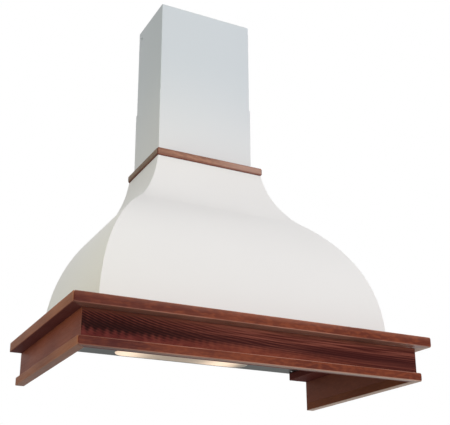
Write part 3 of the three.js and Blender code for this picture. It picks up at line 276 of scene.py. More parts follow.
add_lamp("front_softbox", (0.5, -3.6, 0.15), 1.9, 1.5, 62, (1.0, 0.985, 0.965))
add_lamp("left_bounce", (-1.35, -0.6, -0.25), 0.7, 0.6, 3.6, (1.0, 0.985, 0.64))
add_lamp("ceiling_softbox", (0.1, -1.1, 2.6), 1.6, 1.6, 10)
add_lamp("back_right_softbox", (2.4, 1.6, 0.3), 1.4, 1.4, 22)

# %% [markdown]
# ## Floor
#
# A hood hangs high, so the floor lies far below it, where it hides nothing from a camera that
# looks up. The camera and the gloss see it nearly white. To matt surfaces it is a pale floor
# that sends light back up, and it takes the hood's shadow.

# %% Floor
FLOOR_LEVEL = -3.8
FLOOR_HALF = 9.0
FLOOR_COLOUR = (0.8, 0.8, 0.8)
FLOOR_WHITE = 0.85  # share of plain white that the camera sees on it


def add_floor():
    corners = [(-1, -1), (1, -1), (1, 1), (-1, 1)]
    mesh = bpy.data.meshes.new("floor")
    points = [(x * FLOOR_HALF, y * FLOOR_HALF, FLOOR_LEVEL) for x, y in corners]
    mesh.from_pydata(points, [], [(0, 1, 2, 3)])
    floor = add_object("floor", mesh)
    finish = Finish("pale_floor")
    matt = finish.node("ShaderNodeBsdfDiffuse", Color=FLOOR_COLOUR)
    white = finish.node("ShaderNodeEmission", Color=WHITE)
    share = finish.shown() * FLOOR_WHITE
    both = finish.node("ShaderNodeMixShader", sockets={0: share, 1: matt, 2: white})
    finish.node("ShaderNodeOutputMaterial", Surface=both)
    mesh.materials.append(finish.owner)
    print("floor at", FLOOR_LEVEL)


add_floor()

# %% [markdown]
# ## Stained wood
#
# The cornice is softwood with a red-brown stain. Growth rings are shells around the tree's
# axis, so a board shows them where it cuts the shells: nearly straight lines where it lies
# along the axis. The ring number comes from the distance to an imagined axis, and its fraction
# climbs from light early wood to dark late wood and drops back, as real rings do. Fibres and
# pores run along the board, and the stain took unevenly, which a slow cloud gives. `arris` is
# a value that the mesh carries: 1 where a corner was rounded. There a pale line is painted,
# partly the stain rubbed thin and partly a painted highlight. A second such value is above 0
# where a painted sheen, a pale reflection, is mixed in, and below 0 where painted shade
# darkens the stain.

# %% Stained boards
FINE = 40  # how much finer the grain is across the board than along it
GROWTH = 2.3 * MM  # thickness of one ring
TREE_AXIS = (0.05, 0.16)  # sideways and up
STAIN_SPAN = (-0.45, -0.12)  # where the front's stain evens out, from its dark left end
PALE_SPAN = (-0.03, 0.10)  # where the collar's front turns paler
PALER = 0.65  # and how far it does
# Painted shade, mixed in where the mesh's second value is below 0
PAINTED_SHADE = srgb(92, 40, 38)
# Pale arris line: partly the stain worn thin, partly a painted highlight
WORN_EDGE_AND_HIGHLIGHT = srgb(202, 146, 126)
# Painted sheen: the pale reflection that downward faces show, where the value is above 0
SHEEN_COLOUR = srgb(226, 196, 172)
SHEEN_AMOUNT = 0.6  # how much of the painted sheen is mixed in
woods = {}


def lengthwise(run, along, across=1):
    """A stretch of noise for a run that lies along x or y."""
    return (along, across, across) if run == "x" else (across, along, across)


def grain(finish, run):
    """The fibre and pore noise along a run."""
    fibre = finish.noise(22, lengthwise(run, 1, FINE), 3.0)
    pore = finish.step(finish.noise(55, lengthwise(run, 1, FINE), 1.0), 0.60, 0.74)
    return fibre, pore


def late_wood(finish, run):
    """0 in early wood and 1 in late wood, from the distance to the tree's axis."""
    x, y, z = finish.xyz()
    sideways = (y if run == "x" else x) - TREE_AXIS[0]
    upwards = z - TREE_AXIS[1]
    distance = (sideways * sideways + upwards * upwards).maths("SQRT")
    fraction = (distance / GROWTH + finish.noise(3, lengthwise(run, 0.6)) * 4).maths("FRACT")
    return finish.step(fraction, 0.2, 0.92) * (1 - finish.step(fraction, 0.92, 1.0))


def evened(finish):
    """0 at the left end of the front, and 1 from where the stain has evened out."""
    return finish.step(finish.xyz()[0], *STAIN_SPAN)


def stained(finish, colour, fibre, pore, wear_and_highlight, gloss, polish=0.0):
    """Worn arrises with painted highlights, painted shade and sheen, satin gloss, sunk pores."""
    arris, sheen_shade = finish.attribute("arris"), finish.attribute("sheen_shade")
    # The second value gives a painted sheen above 0, and painted shade below 0 on undersides,
    # inner faces and mitres
    sheen_mask = sheen_shade.maths("MAXIMUM", 0)
    first = (sheen_shade * -1).maths("MAXIMUM", 0)
    patchy = finish.step(finish.noise(9, detail=3.0), 0.3, 0.6) * 0.55 + 0.45
    with_shade = finish.mix(first * (1 - pore * 0.3), colour, PAINTED_SHADE)
    # A pale line on each arris: partly wear, partly a painted highlight
    worn_and_highlit = finish.mix(arris * (evened(finish) * 0.5 + 0.5) * patchy * wear_and_highlight, with_shade, WORN_EDGE_AND_HIGHLIGHT)
    with_sheen = finish.mix(sheen_mask * SHEEN_AMOUNT * (0.7 + fibre * 0.6), worn_and_highlit, SHEEN_COLOUR)
    return finish.done(
        Base_Color=with_sheen,
        Roughness=0.42 + (fibre - 0.5) * 0.25 - arris * 0.08 + first * 0.25,
        Specular_IOR_Level=gloss,
        Coat_Weight=sheen_mask * polish,
        Coat_Roughness=0.2,
        Coat_IOR=1.5,
        Normal=finish.relief(fibre * 0.7 - pore * 0.7, 0.2 * MM, 0.6),
    )


def stained_board(kind, run, light, dark, contrast=0.12, flecks=0.5, wear_and_highlight=0.75, gloss=0.05,
                  end_shade=0.0, polish=0.0, pale_end=None):
    """The finish of a plain board: rings, fibres, flecks and a slow cloud in the stain."""
    finish = Finish(f"stained_{kind}_{run}")
    fibre, pore = grain(finish, run)
    late = late_wood(finish, run)
    cloud = finish.noise(16, lengthwise(run, 0.4), 2.5)
    fleck = finish.step(finish.noise(110, lengthwise(run, 0.5, 1.5), 2.0), 0.4, 0.7)
    tone = late * contrast + (fibre - 0.5) * 0.6 + (cloud - 0.5) * 1.3 + pore * 0.3
    even = evened(finish)
    tone = tone - (fleck - 0.4) * (even * 0.6 + 0.4) * flecks + (1 - even) * end_shade
    colour = finish.mix(finish.step(tone, -0.35, 0.85), light, dark)
    if pale_end:
        colour = finish.mix(finish.step(finish.xyz()[0], *PALE_SPAN) * PALER, colour, pale_end)
    woods[kind, run] = stained(finish, colour, fibre, pore, wear_and_highlight, gloss, polish)


stained_board("board", "x", srgb(130, 66, 44), srgb(76, 32, 30), end_shade=0.42, polish=0.15)
# The sides' stains are paler than the front's: partly a painted sheen, the glancing reflection on
# the sides, partly a paler board
stained_board("board", "y", srgb(150, 92, 60), srgb(108, 60, 42),
              contrast=0.25, flecks=0.2, gloss=0.03, polish=0.15)
stained_board("fascia", "y", srgb(134, 74, 54), srgb(98, 48, 40),
              contrast=0.25, flecks=0.2, gloss=0.03)
stained_board("collar", "x", srgb(174, 128, 107), srgb(130, 94, 80),
              contrast=0.35, wear_and_highlight=0.15, pale_end=srgb(192, 156, 142))
stained_board("collar", "y", srgb(152, 130, 113), srgb(108, 89, 76), wear_and_highlight=0.15, gloss=0.03)
print("woods", list(woods))

# %% [markdown]
# ## Figured fascia
#
# The front fascia is the show piece: a plain-sawn board whose rings fan out from its left end
# and settle into level lines towards the right. Shells around a straight axis can't do that,
# so the ring number is written down directly: the height on the board, less a curve that dies
# away along it. The ring lines are paler than the dark stain between them. A red streak of
# heartwood lies along the foot, thick at the left and gone before the right end, and the rings
# bite into its upper edge like teeth.

# %% Fascia figure
FASCIA_LEFT = -0.421
FASCIA_FOOT = -0.380
MIDDLE_SPAN = (0.05, 0.42)  # where the left end's look changes to the middle's
RIGHT_SPAN = (0.40, 0.80)  # and the middle's to the right end's
RING_SPACING = 5.6 * MM
FAN_RISE = 0.098  # how high the fan's curve starts at the left end
FAN_REACH = 0.235  # the length over which it dies away
STREAK_RISE = 16.5 * MM  # height of the red streak at the left end
STREAK_FALL = 0.010  # per metre along the board
STREAK_SWELL = 5 * MM  # how much it swells again after the fan
TOOTH = 5 * MM  # height of the teeth in its upper edge
TOOTH_PITCH = 17 * MM
GROUND = (srgb(48, 15, 15), srgb(90, 39, 32), srgb(82, 34, 29))  # left, middle, right
LOW_GROUND = (srgb(42, 12, 14), srgb(66, 26, 26))  # left, middle
RING_LIGHT = (srgb(116, 58, 47), srgb(150, 88, 74))  # left, middle
HEARTWOOD = (srgb(112, 50, 46), srgb(140, 72, 54))  # left, middle
HEART_LUMPS = srgb(84, 28, 28)
# Painted light: the fascia's top, under the board's overhang, is made paler
PAINTED_LIGHT_UNDER_BOARD = srgb(146, 88, 70)
DARK_STREAKS = srgb(50, 20, 20)
DEEPEST = srgb(32, 8, 8)
PORES = srgb(44, 14, 14)


def figured_fascia():
    finish = Finish("figured_fascia_x")
    x, _, z = finish.xyz()
    along = x - FASCIA_LEFT
    up = z - FASCIA_FOOT
    middle = finish.step(along, *MIDDLE_SPAN)
    right = finish.step(along, *RIGHT_SPAN)
    fibre, pore = grain(finish, "x")
    bite = finish.noise(35, detail=1.0)

    fan = (along * (-1 / FAN_REACH)).maths("EXPONENT")
    waver = (finish.noise(7, (0.35, 1, 1), 2.0) - 0.5) * 2.4
    waver = waver + (finish.noise(60, (0.05, 1, 1), 1.0) - 0.5) * middle * 2.0
    fraction = ((up - fan * FAN_RISE) / RING_SPACING + waver).maths("FRACT")
    line = finish.step(fraction, 0.0, 0.24) * (1 - finish.step(fraction, 0.24, 0.56))

    band = finish.step(up, 0.026, 0.048)
    low_ground = finish.mix(middle, *LOW_GROUND)
    ground = finish.mix(right, finish.mix(middle, *GROUND[:2]), GROUND[2])
    ground = finish.mix(band * 0.75 + 0.25, low_ground, ground)
    # Painted light under the top board, where the overhang shades the fascia
    painted_light_under_board = finish.step(up, 0.048, 0.060) * (middle * 0.35 + 0.42)
    ground = finish.mix(painted_light_under_board, ground, PAINTED_LIGHT_UNDER_BOARD)

    patches = finish.step(finish.noise(26, (0.12, 1, 1), 1.0), 0.3, 0.65)
    strength = (1 - right * 0.5) * (band * 0.3 + 0.6) * (bite + 0.5)
    strength = strength * (1 - middle * (1 - patches) * 0.45)
    light = finish.mix(middle, *RING_LIGHT)
    streaks = finish.step(finish.noise(300, (0.016, 1, 1), 1.0), 0.46, 0.60)

    tooth = ((along / TOOTH_PITCH + waver * 0.3) * math.tau).maths("SINE") * fan * bite * TOOTH * 2
    edge = along * -STREAK_FALL + STREAK_RISE + middle * STREAK_SWELL + tooth
    above = up - edge
    fading = finish.step(above, 0.007, 0.040 - middle * 0.014)
    deepest = finish.step(above, -0.006, 0.007) * (1 - fading)
    depth = 0.75 - middle * 0.5 - right * 0.05
    lumps = finish.step(finish.noise(110, (0.5, 1, 1), 2.0), 0.35, 0.65)
    red = finish.mix(middle, *HEARTWOOD)
    red = finish.mix(lumps * (0.7 - middle * 0.3), red, HEART_LUMPS)
    heartwood = 1 - finish.step(above, -0.012, 0.006)

    colour = ground
    for share, layer in (
            (line * strength, light),
            (streaks * middle * (band * 0.35 + 0.12), light),
            ((1 - streaks) * middle * (bite + 0.3) * 0.4, DARK_STREAKS),
            (deepest * depth, DEEPEST),
            (heartwood * (1 - right * 0.9) * 0.9, red),
            (pore * 0.35, PORES)):
        colour = finish.mix(share, colour, layer)
    return stained(finish, colour, fibre, pore, 0.5, 0.02)


woods["fascia", "x"] = figured_fascia()
print("fascia figure", RING_SPACING / MM, "mm between rings")

# %% [markdown]
# ## Meshes from profiles
#
# Each wooden run is one profile pushed along the front or a side, and cut at 45 degrees where
# two runs meet. A real arris is never sharp, so the profile's corners become arcs. Every
# point's `arris` weight is kept on the mesh, for the finish. The same arcs and lofts make the
# bell, the sleeves, the lamp cover and the bulbs further on.

# %% Profiles
ARC_STEPS = 6


def arc(across, up, radius, first, last, steps):
    """Points on a circle round a centre, from one angle to another in degrees."""
    turns = [math.radians(first + (last - first) * step / steps) for step in range(steps + 1)]
    return [(across + radius * math.cos(turn), up + radius * math.sin(turn)) for turn in turns]


def bend(points, i, steps):
    """A right-angled corner, the way to its inside and the ways out round its arc."""
    corner = Vector(points[i][:2])
    before = (Vector(points[i - 1][:2]) - corner).normalized()
    after = (Vector(points[(i + 1) % len(points)][:2]) - corner).normalized()
    turns = [math.pi / 2 * step / steps for step in range(steps + 1)]
    ways = [-(after * math.cos(turn) + before * math.sin(turn)) for turn in turns]
    return corner, before + after, ways


def rounded(corners):
    """Right-angled corners (across, up, radius) become points (across, up, arris)."""
    points = []
    for i, (across, up, radius) in enumerate(corners):
        if radius == 0:
            points.append((across, up, 0.0))
            continue
        corner, inwards, ways = bend(corners, i, ARC_STEPS)
        centre = corner + radius * inwards
        for step, way in enumerate(ways):
            points.append((*(centre + radius * way), math.sin(math.pi * step / ARC_STEPS)))
    return points


def built(name, points, faces, smooth_below, change=None):
    """A mesh with its normals outwards, and smooth where it turns by less than an angle."""
    mesh = bpy.data.meshes.new(name)
    mesh.from_pydata(points, [], faces)
    shape = bmesh.new()
    shape.from_mesh(mesh)
    if change:
        change(shape)
    bmesh.ops.recalc_face_normals(shape, faces=shape.faces)
    shape.to_mesh(mesh)
    shape.free()
    mesh.shade_smooth()
    mesh.set_sharp_from_angle(angle=math.radians(smooth_below))
    return mesh


def lofted(name, rings, marks=None, smooth_below=40):
    """A mesh through rings of equally many points, with its first and last ring filled.

    `marks` holds the values of named attributes, one for each point.
    """
    count = len(rings[0])
    last = (len(rings) - 1) * count
    faces = []
    for start in range(0, last, count):
        for i in range(count):
            a, b = start + i, start + (i + 1) % count
            faces.append((a, b, b + count, a + count))
    faces += [tuple(reversed(range(count))), tuple(last + i for i in range(count))]
    mesh = built(name, [point for ring in rings for point in ring], faces, smooth_below)
    for mark, values in (marks or {}).items():
        mesh.attributes.new(mark, "FLOAT", "POINT").data.foreach_set("value", values)
    return mesh


def add_piece(name, mesh, body, slot, *stands_for, material=None):
    """A mesh becomes a piece of the hood, in its slot's finish unless it has its own."""
    piece = add_object(name, mesh)
    mesh.materials.clear()
    mesh.materials.append(material or finishes[slot])
    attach(piece, body)
    if stands_for:
        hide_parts(*stands_for)


def underside(node):
    """The middle of the underside of a node's box."""
    low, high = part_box(node)
    return Vector(((low.x + high.x) / 2, (low.y + high.y) / 2, low.z))


print("a rounded square has", len(rounded([(0, 0, 1), (9, 0, 1), (9, 9, 1), (0, 9, 1)])), "points")

# %% [markdown]
# ## Mitred runs
#
# The sizes come from the frame: the boxes of the front and side nodes give each profile's
# width and height. The mitre's own edges are eased as well, by a last ring that is a little
# smaller all round, so two runs meet in a fine groove that catches light and shade. Where the
# outer corner was sanded round, a few rings at smaller angles lead from the mitre to the
# straight run. Light and shade are also painted onto the wood, differently from place to
# place. The top board's underside has painted shade on the left and a painted sheen on the
# right, its outer part is painted lighter, and a painted highlight runs down from the top of
# its outer face. The moulding's underside has a painted sheen. The inner faces of the top
# board and the moulding have painted shade, and so do the collar's underside and mitres,
# while the collar's top edge is made darker.

# %% Cornice and collar
MITRE_GAP = 0.4 * MM
SIDE_WEAR_AND_HIGHLIGHT = 0.3  # the sides' arris lines, part wear and part painted highlight, are fainter
CORNER_LIGHT = 0.6  # how much painted highlight runs along the mitre's edge
CORNER_WIDTH = 2 * MM
CORNER_ANGLES = (45, 30, 15, 0)  # round an outer corner, from its mitre to the straight run
CORNER_SANDING = 6 * MM  # how far in a sanded corner is also rounded from above and below
SHEEN_SHADE_CHANGE = 1 * MM  # width over which the underside's painted light changes
LAST_CHANGE = 0.8  # share of the width by which it has changed, if it does
HAIR = 0.01 * MM


def corner_shift(inset, radius, angle):
    """How far a rounded corner moves a profile point along its run, and across it."""
    turn = math.radians(angle)
    if inset >= radius:
        return (math.sqrt(0.5) - math.sin(turn)) * radius, 0.0
    return (radius - inset) * (1 - math.sin(turn)), (radius - inset) * (1 - math.cos(turn))


def mitred_run(kind, rounding, ease, slot, below, inside=0.0, seam=0.0, split=(1, 1),
               corner_radius=0.0, top_face_highlight=0.0, underside_light=0.0, crown=0.0):
    """The front, left and right pieces of one wooden moulding, from their nodes' boxes.

    `rounding` has the radii of the profile: lower outer, lower inner, upper inner and upper
    outer. `ease` is how much smaller the ring at the mitre is. `below` has the painted light on
    the underside at both ends of the front, the left side and the right side: a painted sheen
    above 0 and painted shade below 0. `split` is the share of the front's and the sides' width
    from which the value is `inside` instead. `seam` is the painted shade of the mitres and
    `crown` the darkening of the top edge. The two values after `corner_radius` paint light: a
    highlight down the top of the outer face, and light on the outer part of the underside.
    """
    front_low, front_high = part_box(f"{kind}_front")
    side_low, side_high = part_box(f"{kind}_right")
    half, depth, low, high = front_high.x, -front_low.y, front_low.z, front_high.z
    middle = (low + high) / 2
    widths = {"front": front_high.y - front_low.y, "side": side_high.x - side_low.x}
    shares = dict(zip(widths, split))

    def profile(part):
        width = widths[part]
        change = min(shares[part], LAST_CHANGE) * width
        points = rounded([
            (0, low, rounding[0]), (change, low, 0), (change + SHEEN_SHADE_CHANGE, low, 0),
            (width, low, rounding[1]), (width, high, rounding[2]), (0, high, rounding[3]),
            (0, middle, 0)])
        # A painted highlight down from the top of the outer face, and painted light on the
        # underside's outer part
        points[-2] = (*points[-2][:2], top_face_highlight)
        return [(inset, up, underside_light if up == low and inset <= change else weight)
                for inset, up, weight in points]

    def ring(part, points, back, angle=45):
        """The profile at the right end of the front, or at the front end of the right side."""
        ratio = widths["side" if part == "front" else "front"] / widths[part]
        sanding = corner_radius * (1 - math.cos(math.radians(2 * angle))) / (high - middle)
        places = []
        for inset, up, _ in points:
            up -= (up - middle) * sanding * max(0, 1 - inset / CORNER_SANDING)
            along, across = corner_shift(inset, corner_radius, angle)
            inwards, onwards = inset + across, inset * ratio + back + along
            if part == "front":
                places.append((half - onwards, inwards - depth, up))
            else:
                places.append((half - inwards, onwards - depth, up))
        return places

    angles = CORNER_ANGLES if corner_radius else CORNER_ANGLES[:1]
    profiles, ends, inner = {}, {}, {}
    for part, gap in (("front", 0), ("side", MITRE_GAP)):
        points = profiles[part] = profile(part)
        eased = [(max(inset, ease), min(max(up, low + ease), high - ease), weight)
                 for inset, up, weight in points]
        ends[part] = [ring(part, eased, gap)]
        ends[part] += [ring(part, points, gap + ease, angle) for angle in angles]
        edge = min(shares[part] * widths[part] + SHEEN_SHADE_CHANGE / 2, widths[part] - HAIR)
        inner[part] = [inset > edge for inset, _, _ in points]
    straight = ring("side", profiles["side"], MITRE_GAP + ease + CORNER_WIDTH, angles[-1])
    ends["side"] += [straight, [(x, 0, z) for x, _, z in straight]]
    mirrored = {part: [[(-x, y, z) for x, y, z in places] for places in rings]
                for part, rings in ends.items()}

    end = len(angles) + 1
    arris = [weight for _, _, weight in profiles["front"]]
    # The sides' arris lines are fainter, and a painted highlight runs down each mitre's edge
    side_arris = [weight * SIDE_WEAR_AND_HIGHLIGHT for weight in arris]
    corner = [min(weight + CORNER_LIGHT, 1.0) for weight in side_arris]
    side_weights = corner * end + side_arris * 2
    under = [max(0.0, 1 - (up - low) / rounding[0]) for _, up, _ in profiles["front"]]
    over = [max(0.0, 1 - (high - up) / rounding[3]) * crown for _, up, _ in profiles["front"]]
    runs = (
        ("front", "front", "x", mirrored["front"] + ends["front"][::-1], arris * (end * 2)),
        ("left", "side", "y", mirrored["side"], side_weights),
        ("right", "side", "y", ends["side"], side_weights))
    for (word, part, axis, rings, weights), (first, last) in zip(runs, below):
        firsts = end if part == "front" else end + 1
        # Painted light on each ring: sheen above 0 and shade below 0, on undersides, inner faces
        # and the top edge
        sheen_shades = [[inside if i else u * sheen_shade + o for u, o, i in zip(under, over, inner[part])]
                 for sheen_shade in [first] * firsts + [last] * (len(rings) - firsts)]
        # The mitre grooves get painted shade
        if seam:
            for at_mitre in (0, 1, -2, -1) if part == "front" else (0, 1):
                sheen_shades[at_mitre] = [seam] * len(under)
        name = f"{kind}_{word}"
        mesh = lofted(f"{name}_wood", rings, {"arris": weights, "sheen_shade": sum(sheen_shades, [])})
        material = woods[slot.replace("wood_", ""), axis]
        add_piece(f"{name}_wood", mesh, "root", slot, name, material=material)
    print(kind, "profile", round(widths["front"] / MM, 1), "x", round((high - low) / MM, 1), "mm")


# Each run's painted light: sheen and shade on undersides and inner faces, highlights on the top
# board
mitred_run(
    "top_board", (2.2 * MM, 1 * MM, 0, 2.5 * MM), 0.3 * MM, "wood_board",
    below=((0.0, 0.15), (-1, -1), (1, 1)), inside=-0.9, split=(0.33, 0.33),
    corner_radius=4 * MM, top_face_highlight=0.3, underside_light=0.7)
mitred_run(
    "fascia", [0.5 * MM] * 4, 0.2 * MM, "wood_fascia", below=[(0, 0)] * 3, inside=0.06)
mitred_run(
    "lower_moulding", (2.2 * MM, 1 * MM, 0, 2.2 * MM), 0.3 * MM, "wood_board",
    below=((0.15, 1), (0.15, 0.15), (1, 1)), inside=-0.3, split=(0.6, 1),
    corner_radius=4 * MM)
mitred_run(
    "collar", (6 * MM, 0, 0, 6 * MM), 1.2 * MM, "wood_collar", below=[(-1, -1)] * 3, seam=-1,
    corner_radius=3 * MM, crown=-0.8)

# %% [markdown]
# ## Painted steel
#
# The bell and the chimney are powder coated. Powder melts into a skin with a faint orange
# peel, which shows only where light grazes it, so it is a very shallow relief. The chimney's
# white is painted a touch cooler and darker towards its top: painted shade.

# %% Paint
SHADED_ABOVE = (0.16, 0.56)  # heights between which painted shade cools and darkens the white
BELL_WHITE = srgb(236, 234, 233)
CHIMNEY_WHITE = srgb(230, 230, 231)
# Painted shade: the chimney's white at its top
CHIMNEY_TOP_IN_SHADE = srgb(212, 218, 223)
PAINT_ROUGHNESS = 0.42
BLACK = (0.0, 0.0, 0.0)


def powder_coat(name, colour, shaded_top_colour):
    finish = Finish(name)
    peel = finish.noise(420, detail=1.5)
    cloud = finish.noise(3.0, detail=2.0)
    paint_and_shade = finish.mix(finish.step(finish.xyz()[2], *SHADED_ABOVE), colour, shaded_top_colour)
    return finish.done(
        Base_Color=finish.mix(cloud * 0.03, paint_and_shade, BLACK),
        Roughness=PAINT_ROUGHNESS + (cloud - 0.5) * 0.08,
        Specular_IOR_Level=0.3,
        Normal=finish.relief(peel, 0.06 * MM),
    )


finishes = {
    "bell_paint": powder_coat("bell_powder_coat", BELL_WHITE, BELL_WHITE),
    "chimney_paint": powder_coat("chimney_powder_coat", CHIMNEY_WHITE, CHIMNEY_TOP_IN_SHADE),
}
print("paints", list(finishes))

# %% [markdown]
# ## Bell
#
# The bell is three folded and curved panels, joined at the two front hips. The frame holds it
# as short straight facets. A cubic curve through the same stations gives the pressed metal's
# smooth sweep without changing its size. A few rounds of averaging ease the place where the
# hollow neck turns into the round shoulder, and each hip gets the radius of a folded edge.

# %% Bell
BELL_SMOOTH_STEPS = 6  # rings between two stations of the frame
EASING_ROUNDS = 10  # each ring moves to the mean of its neighbours this often
HIP_RADIUS = 1.5 * MM
HIP_STEPS = 3


def bell_stations():
    """(height, outer half, outer depth, inner half, inner depth) at each bend of the bell."""
    rows = {}
    for vertex in nodes["bell_front_panel"].data.vertices:
        rows.setdefault(round(vertex.co.z, 5), set()).add((abs(vertex.co.x), -vertex.co.y))
    return [(height, *max(corners), *min(corners)) for height, corners in sorted(rows.items())]


def smooth_stations(stations, steps):
    """A cubic curve through the stations, with the slope between its neighbours at each."""
    def slope(i, k):
        before, after = stations[max(i - 1, 0)], stations[min(i + 1, len(stations) - 1)]
        return (after[k] - before[k]) / (after[0] - before[0])

    smooth = []
    for i, (low, high) in enumerate(zip(stations, stations[1:])):
        span = high[0] - low[0]
        for step in range(steps):
            t = step / steps
            smooth.append([low[0] + span * t] + [
                (2 * t**3 - 3 * t**2 + 1) * low[k] + (t**3 - 2 * t**2 + t) * span * slope(i, k)
                + (3 * t**2 - 2 * t**3) * high[k] + (t**3 - t**2) * span * slope(i + 1, k)
                for k in range(1, 5)])
    smooth.append(list(stations[-1]))
    for _ in range(EASING_ROUNDS):
        eased = [[(a + 2 * b + c) / 4 for a, b, c in zip(before, here, after)]
                 for before, here, after in zip(smooth, smooth[1:], smooth[2:])]
        smooth = [smooth[0], *eased, smooth[-1]]
    return smooth


def add_bell():
    panels = {"front_panel": [], "side_panel_left": [], "side_panel_right": []}
    for z, half, depth, inner_half, inner_depth in smooth_stations(
            bell_stations(), BELL_SMOOTH_STEPS):
        hip = (half - HIP_RADIUS, HIP_RADIUS - depth, HIP_RADIUS)
        front = [*arc(*hip, -90, -45, HIP_STEPS), (inner_half, -inner_depth)]
        corner = [(x, y + MITRE_GAP) for x, y in arc(*hip, 0, -45, HIP_STEPS)]
        side = [*corner, (inner_half, MITRE_GAP - inner_depth), (inner_half, 0), (half, 0)]
        plans = ([(-x, y) for x, y in reversed(front)] + front, [(-x, y) for x, y in side], side)
        for rings, plan in zip(panels.values(), plans):
            rings.append([(x, y, z) for x, y in plan])
    for word, rings in panels.items():
        name = f"bell_{word.replace('panel', 'skin')}"
        add_piece(name, lofted(name, rings), "root", "bell_paint", f"bell_{word}")
    print("bell rings", len(rings))


add_bell()

# %% [markdown]
# ## Chimney
#
# Both sleeves are one sheet folded four times, open towards the wall. The plan is an open
# line with a radius at each fold, offset inwards by the sheet's thickness and pushed upwards.

# %% Chimney sleeves
CHIMNEY_SHEET = 1.2 * MM
CHIMNEY_RETURN = 16 * MM  # width of the two folds against the wall
BEND_RADIUS = 2.2 * MM  # outside of a folded corner
BEND_STEPS = 4


def folded_sheet(name, line, low, high):
    """An upright sheet folded along a line in plan, with its outer face to the line's right."""
    outer, inner = [], []
    for i, point in enumerate(line):
        if i in (0, len(line) - 1):
            along = Vector(line[max(i, 1)]) - Vector(line[max(i, 1) - 1])
            outer.append(Vector(point))
            inner.append(outer[-1] + CHIMNEY_SHEET * Vector((-along.y, along.x)).normalized())
            continue
        corner, inwards, ways = bend(line, i, BEND_STEPS)
        centre = corner + BEND_RADIUS * inwards
        outer += [centre + BEND_RADIUS * way for way in ways]
        inner += [centre + (BEND_RADIUS - CHIMNEY_SHEET) * way for way in ways]
    plan = outer + inner[::-1]
    return lofted(name, [[(p.x, p.y, z) for p in plan] for z in (low, high)])


def add_sleeve(node, body):
    low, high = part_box(node)
    line = [
        (low.x + CHIMNEY_RETURN, high.y), (low.x, high.y), (low.x, low.y),
        (high.x, low.y), (high.x, high.y), (high.x - CHIMNEY_RETURN, high.y),
    ]
    name = f"{node}_sleeve"
    add_piece(name, folded_sheet(name, line, low.z, high.z), body, "chimney_paint", node)


add_sleeve("lower_chimney", "root")
add_sleeve("upper_chimney", "chimney_top")
print("sleeve sheet", CHIMNEY_SHEET / MM, "mm")

# %% [markdown]
# ## Metals and plastics
#
# Sheet metal shows how it was made. Stainless and rolled aluminium carry fine lines along the
# rolling direction. Galvanised sheet has spangle, the crystals that zinc grows as it cools,
# each a slightly different grey, so it is a Voronoi pattern. Zinc plate is cloudy, enamel is
# glossy and black, and moulded plastic has a fine sparkle from the mould.

# %% Metals and plastics
ALONG_X = (1, 60, 60)
ALONG_Y = (60, 1, 60)
SPANGLE = 7 * MM  # size of a zinc crystal
JET = (0.022, 0.022, 0.024)


def shaded(finish, share, darkening, colour):
    """The colour where the share is 1, and a darker one where it is 0."""
    return finish.mix(share, tuple(part * darkening for part in colour), colour)


def brushed(name, colour, stretch, roughness, edge=1.0):
    finish = Finish(name)
    line = finish.noise(30, stretch, 3.0)
    cloud = finish.noise(6, detail=2.0)
    tone = (line - 0.5) * 0.8 + (cloud - 0.5) * 0.4 + 0.5
    return finish.done(
        Base_Color=shaded(finish, tone, 0.78, colour),
        Roughness=roughness + (line - 0.5) * 0.2,
        Metallic=1.0,
        Specular_Tint=(edge, edge, edge),
        Normal=finish.relief(line, 0.04 * MM),
    )


def spangled(name, colour, roughness):
    finish = Finish(name)
    cells = finish.node(
        "ShaderNodeTexVoronoi", out="Color", Vector=finish.place(), Scale=1 / SPANGLE)
    crystal = finish.parts(cells)[0]
    cloud = finish.noise(9, detail=3.0)
    return finish.done(
        Base_Color=shaded(finish, crystal * 0.7 + cloud * 0.3, 0.72, colour),
        Roughness=roughness + (crystal - 0.5) * 0.15,
        Metallic=1.0,
    )


def clouded(name, colour, scale, roughness, metallic=0.0, depth=0.03 * MM):
    finish = Finish(name)
    cloud = finish.noise(scale, detail=3.0)
    sparkle = finish.noise(900, detail=1.0)
    return finish.done(
        Base_Color=shaded(finish, cloud, 0.86, colour),
        Roughness=roughness + (cloud - 0.5) * 0.12,
        Metallic=metallic,
        Normal=finish.relief(sparkle, depth),
    )


finishes.update(
    # Far darker than bare steel: a painted reflection of the dark room below the tray
    stainless=brushed("brushed_stainless", (0.172, 0.179, 0.171), ALONG_X, 0.36, 0.5),
    aluminium=brushed("rolled_aluminium", (0.60, 0.61, 0.62), ALONG_Y, 0.40),
    filter_mesh=brushed("expanded_aluminium", (0.52, 0.53, 0.54), ALONG_Y, 0.42),
    galvanised=spangled("galvanised_sheet", (0.55, 0.57, 0.58), 0.45),
    bright_steel=clouded("zinc_plate", (0.66, 0.67, 0.68), 40, 0.32, 1.0),
    motor_casing=clouded("black_enamel", JET, 12, 0.36, depth=0.06 * MM),
    dark_plastic=clouded("dark_plastic", JET, 20, 0.5),
    grey_plastic=clouded("grey_plastic", (0.27, 0.28, 0.29), 20, 0.5),
    white_plastic=clouded("white_plastic", (0.78, 0.77, 0.72), 20, 0.35),
)
print("finishes", len(finishes))

# %% [markdown]
# ## Lit lamp cover and bulbs
#
# The cover is ribbed translucent plastic, lit from behind by two bulbs. Rather than wait for
# light to find its way through, the cover glows by itself: two soft lobes, one for each bulb,
# on a dimmer base. From the photographer's side the bulbs appear a little left of their places,
# because they sit above the cover, so the lobes do too.

# %% Lamp finishes
GLOW_LOBES = ((-0.162, 0.052), (0.112, 0.050))  # middle and reach of each lobe
GLOW_ENDS = (0.148, 0.180)  # where the right lobe fades
GLOW_LOW = srgb(116, 96, 76)
GLOW_HIGH = srgb(244, 214, 184)


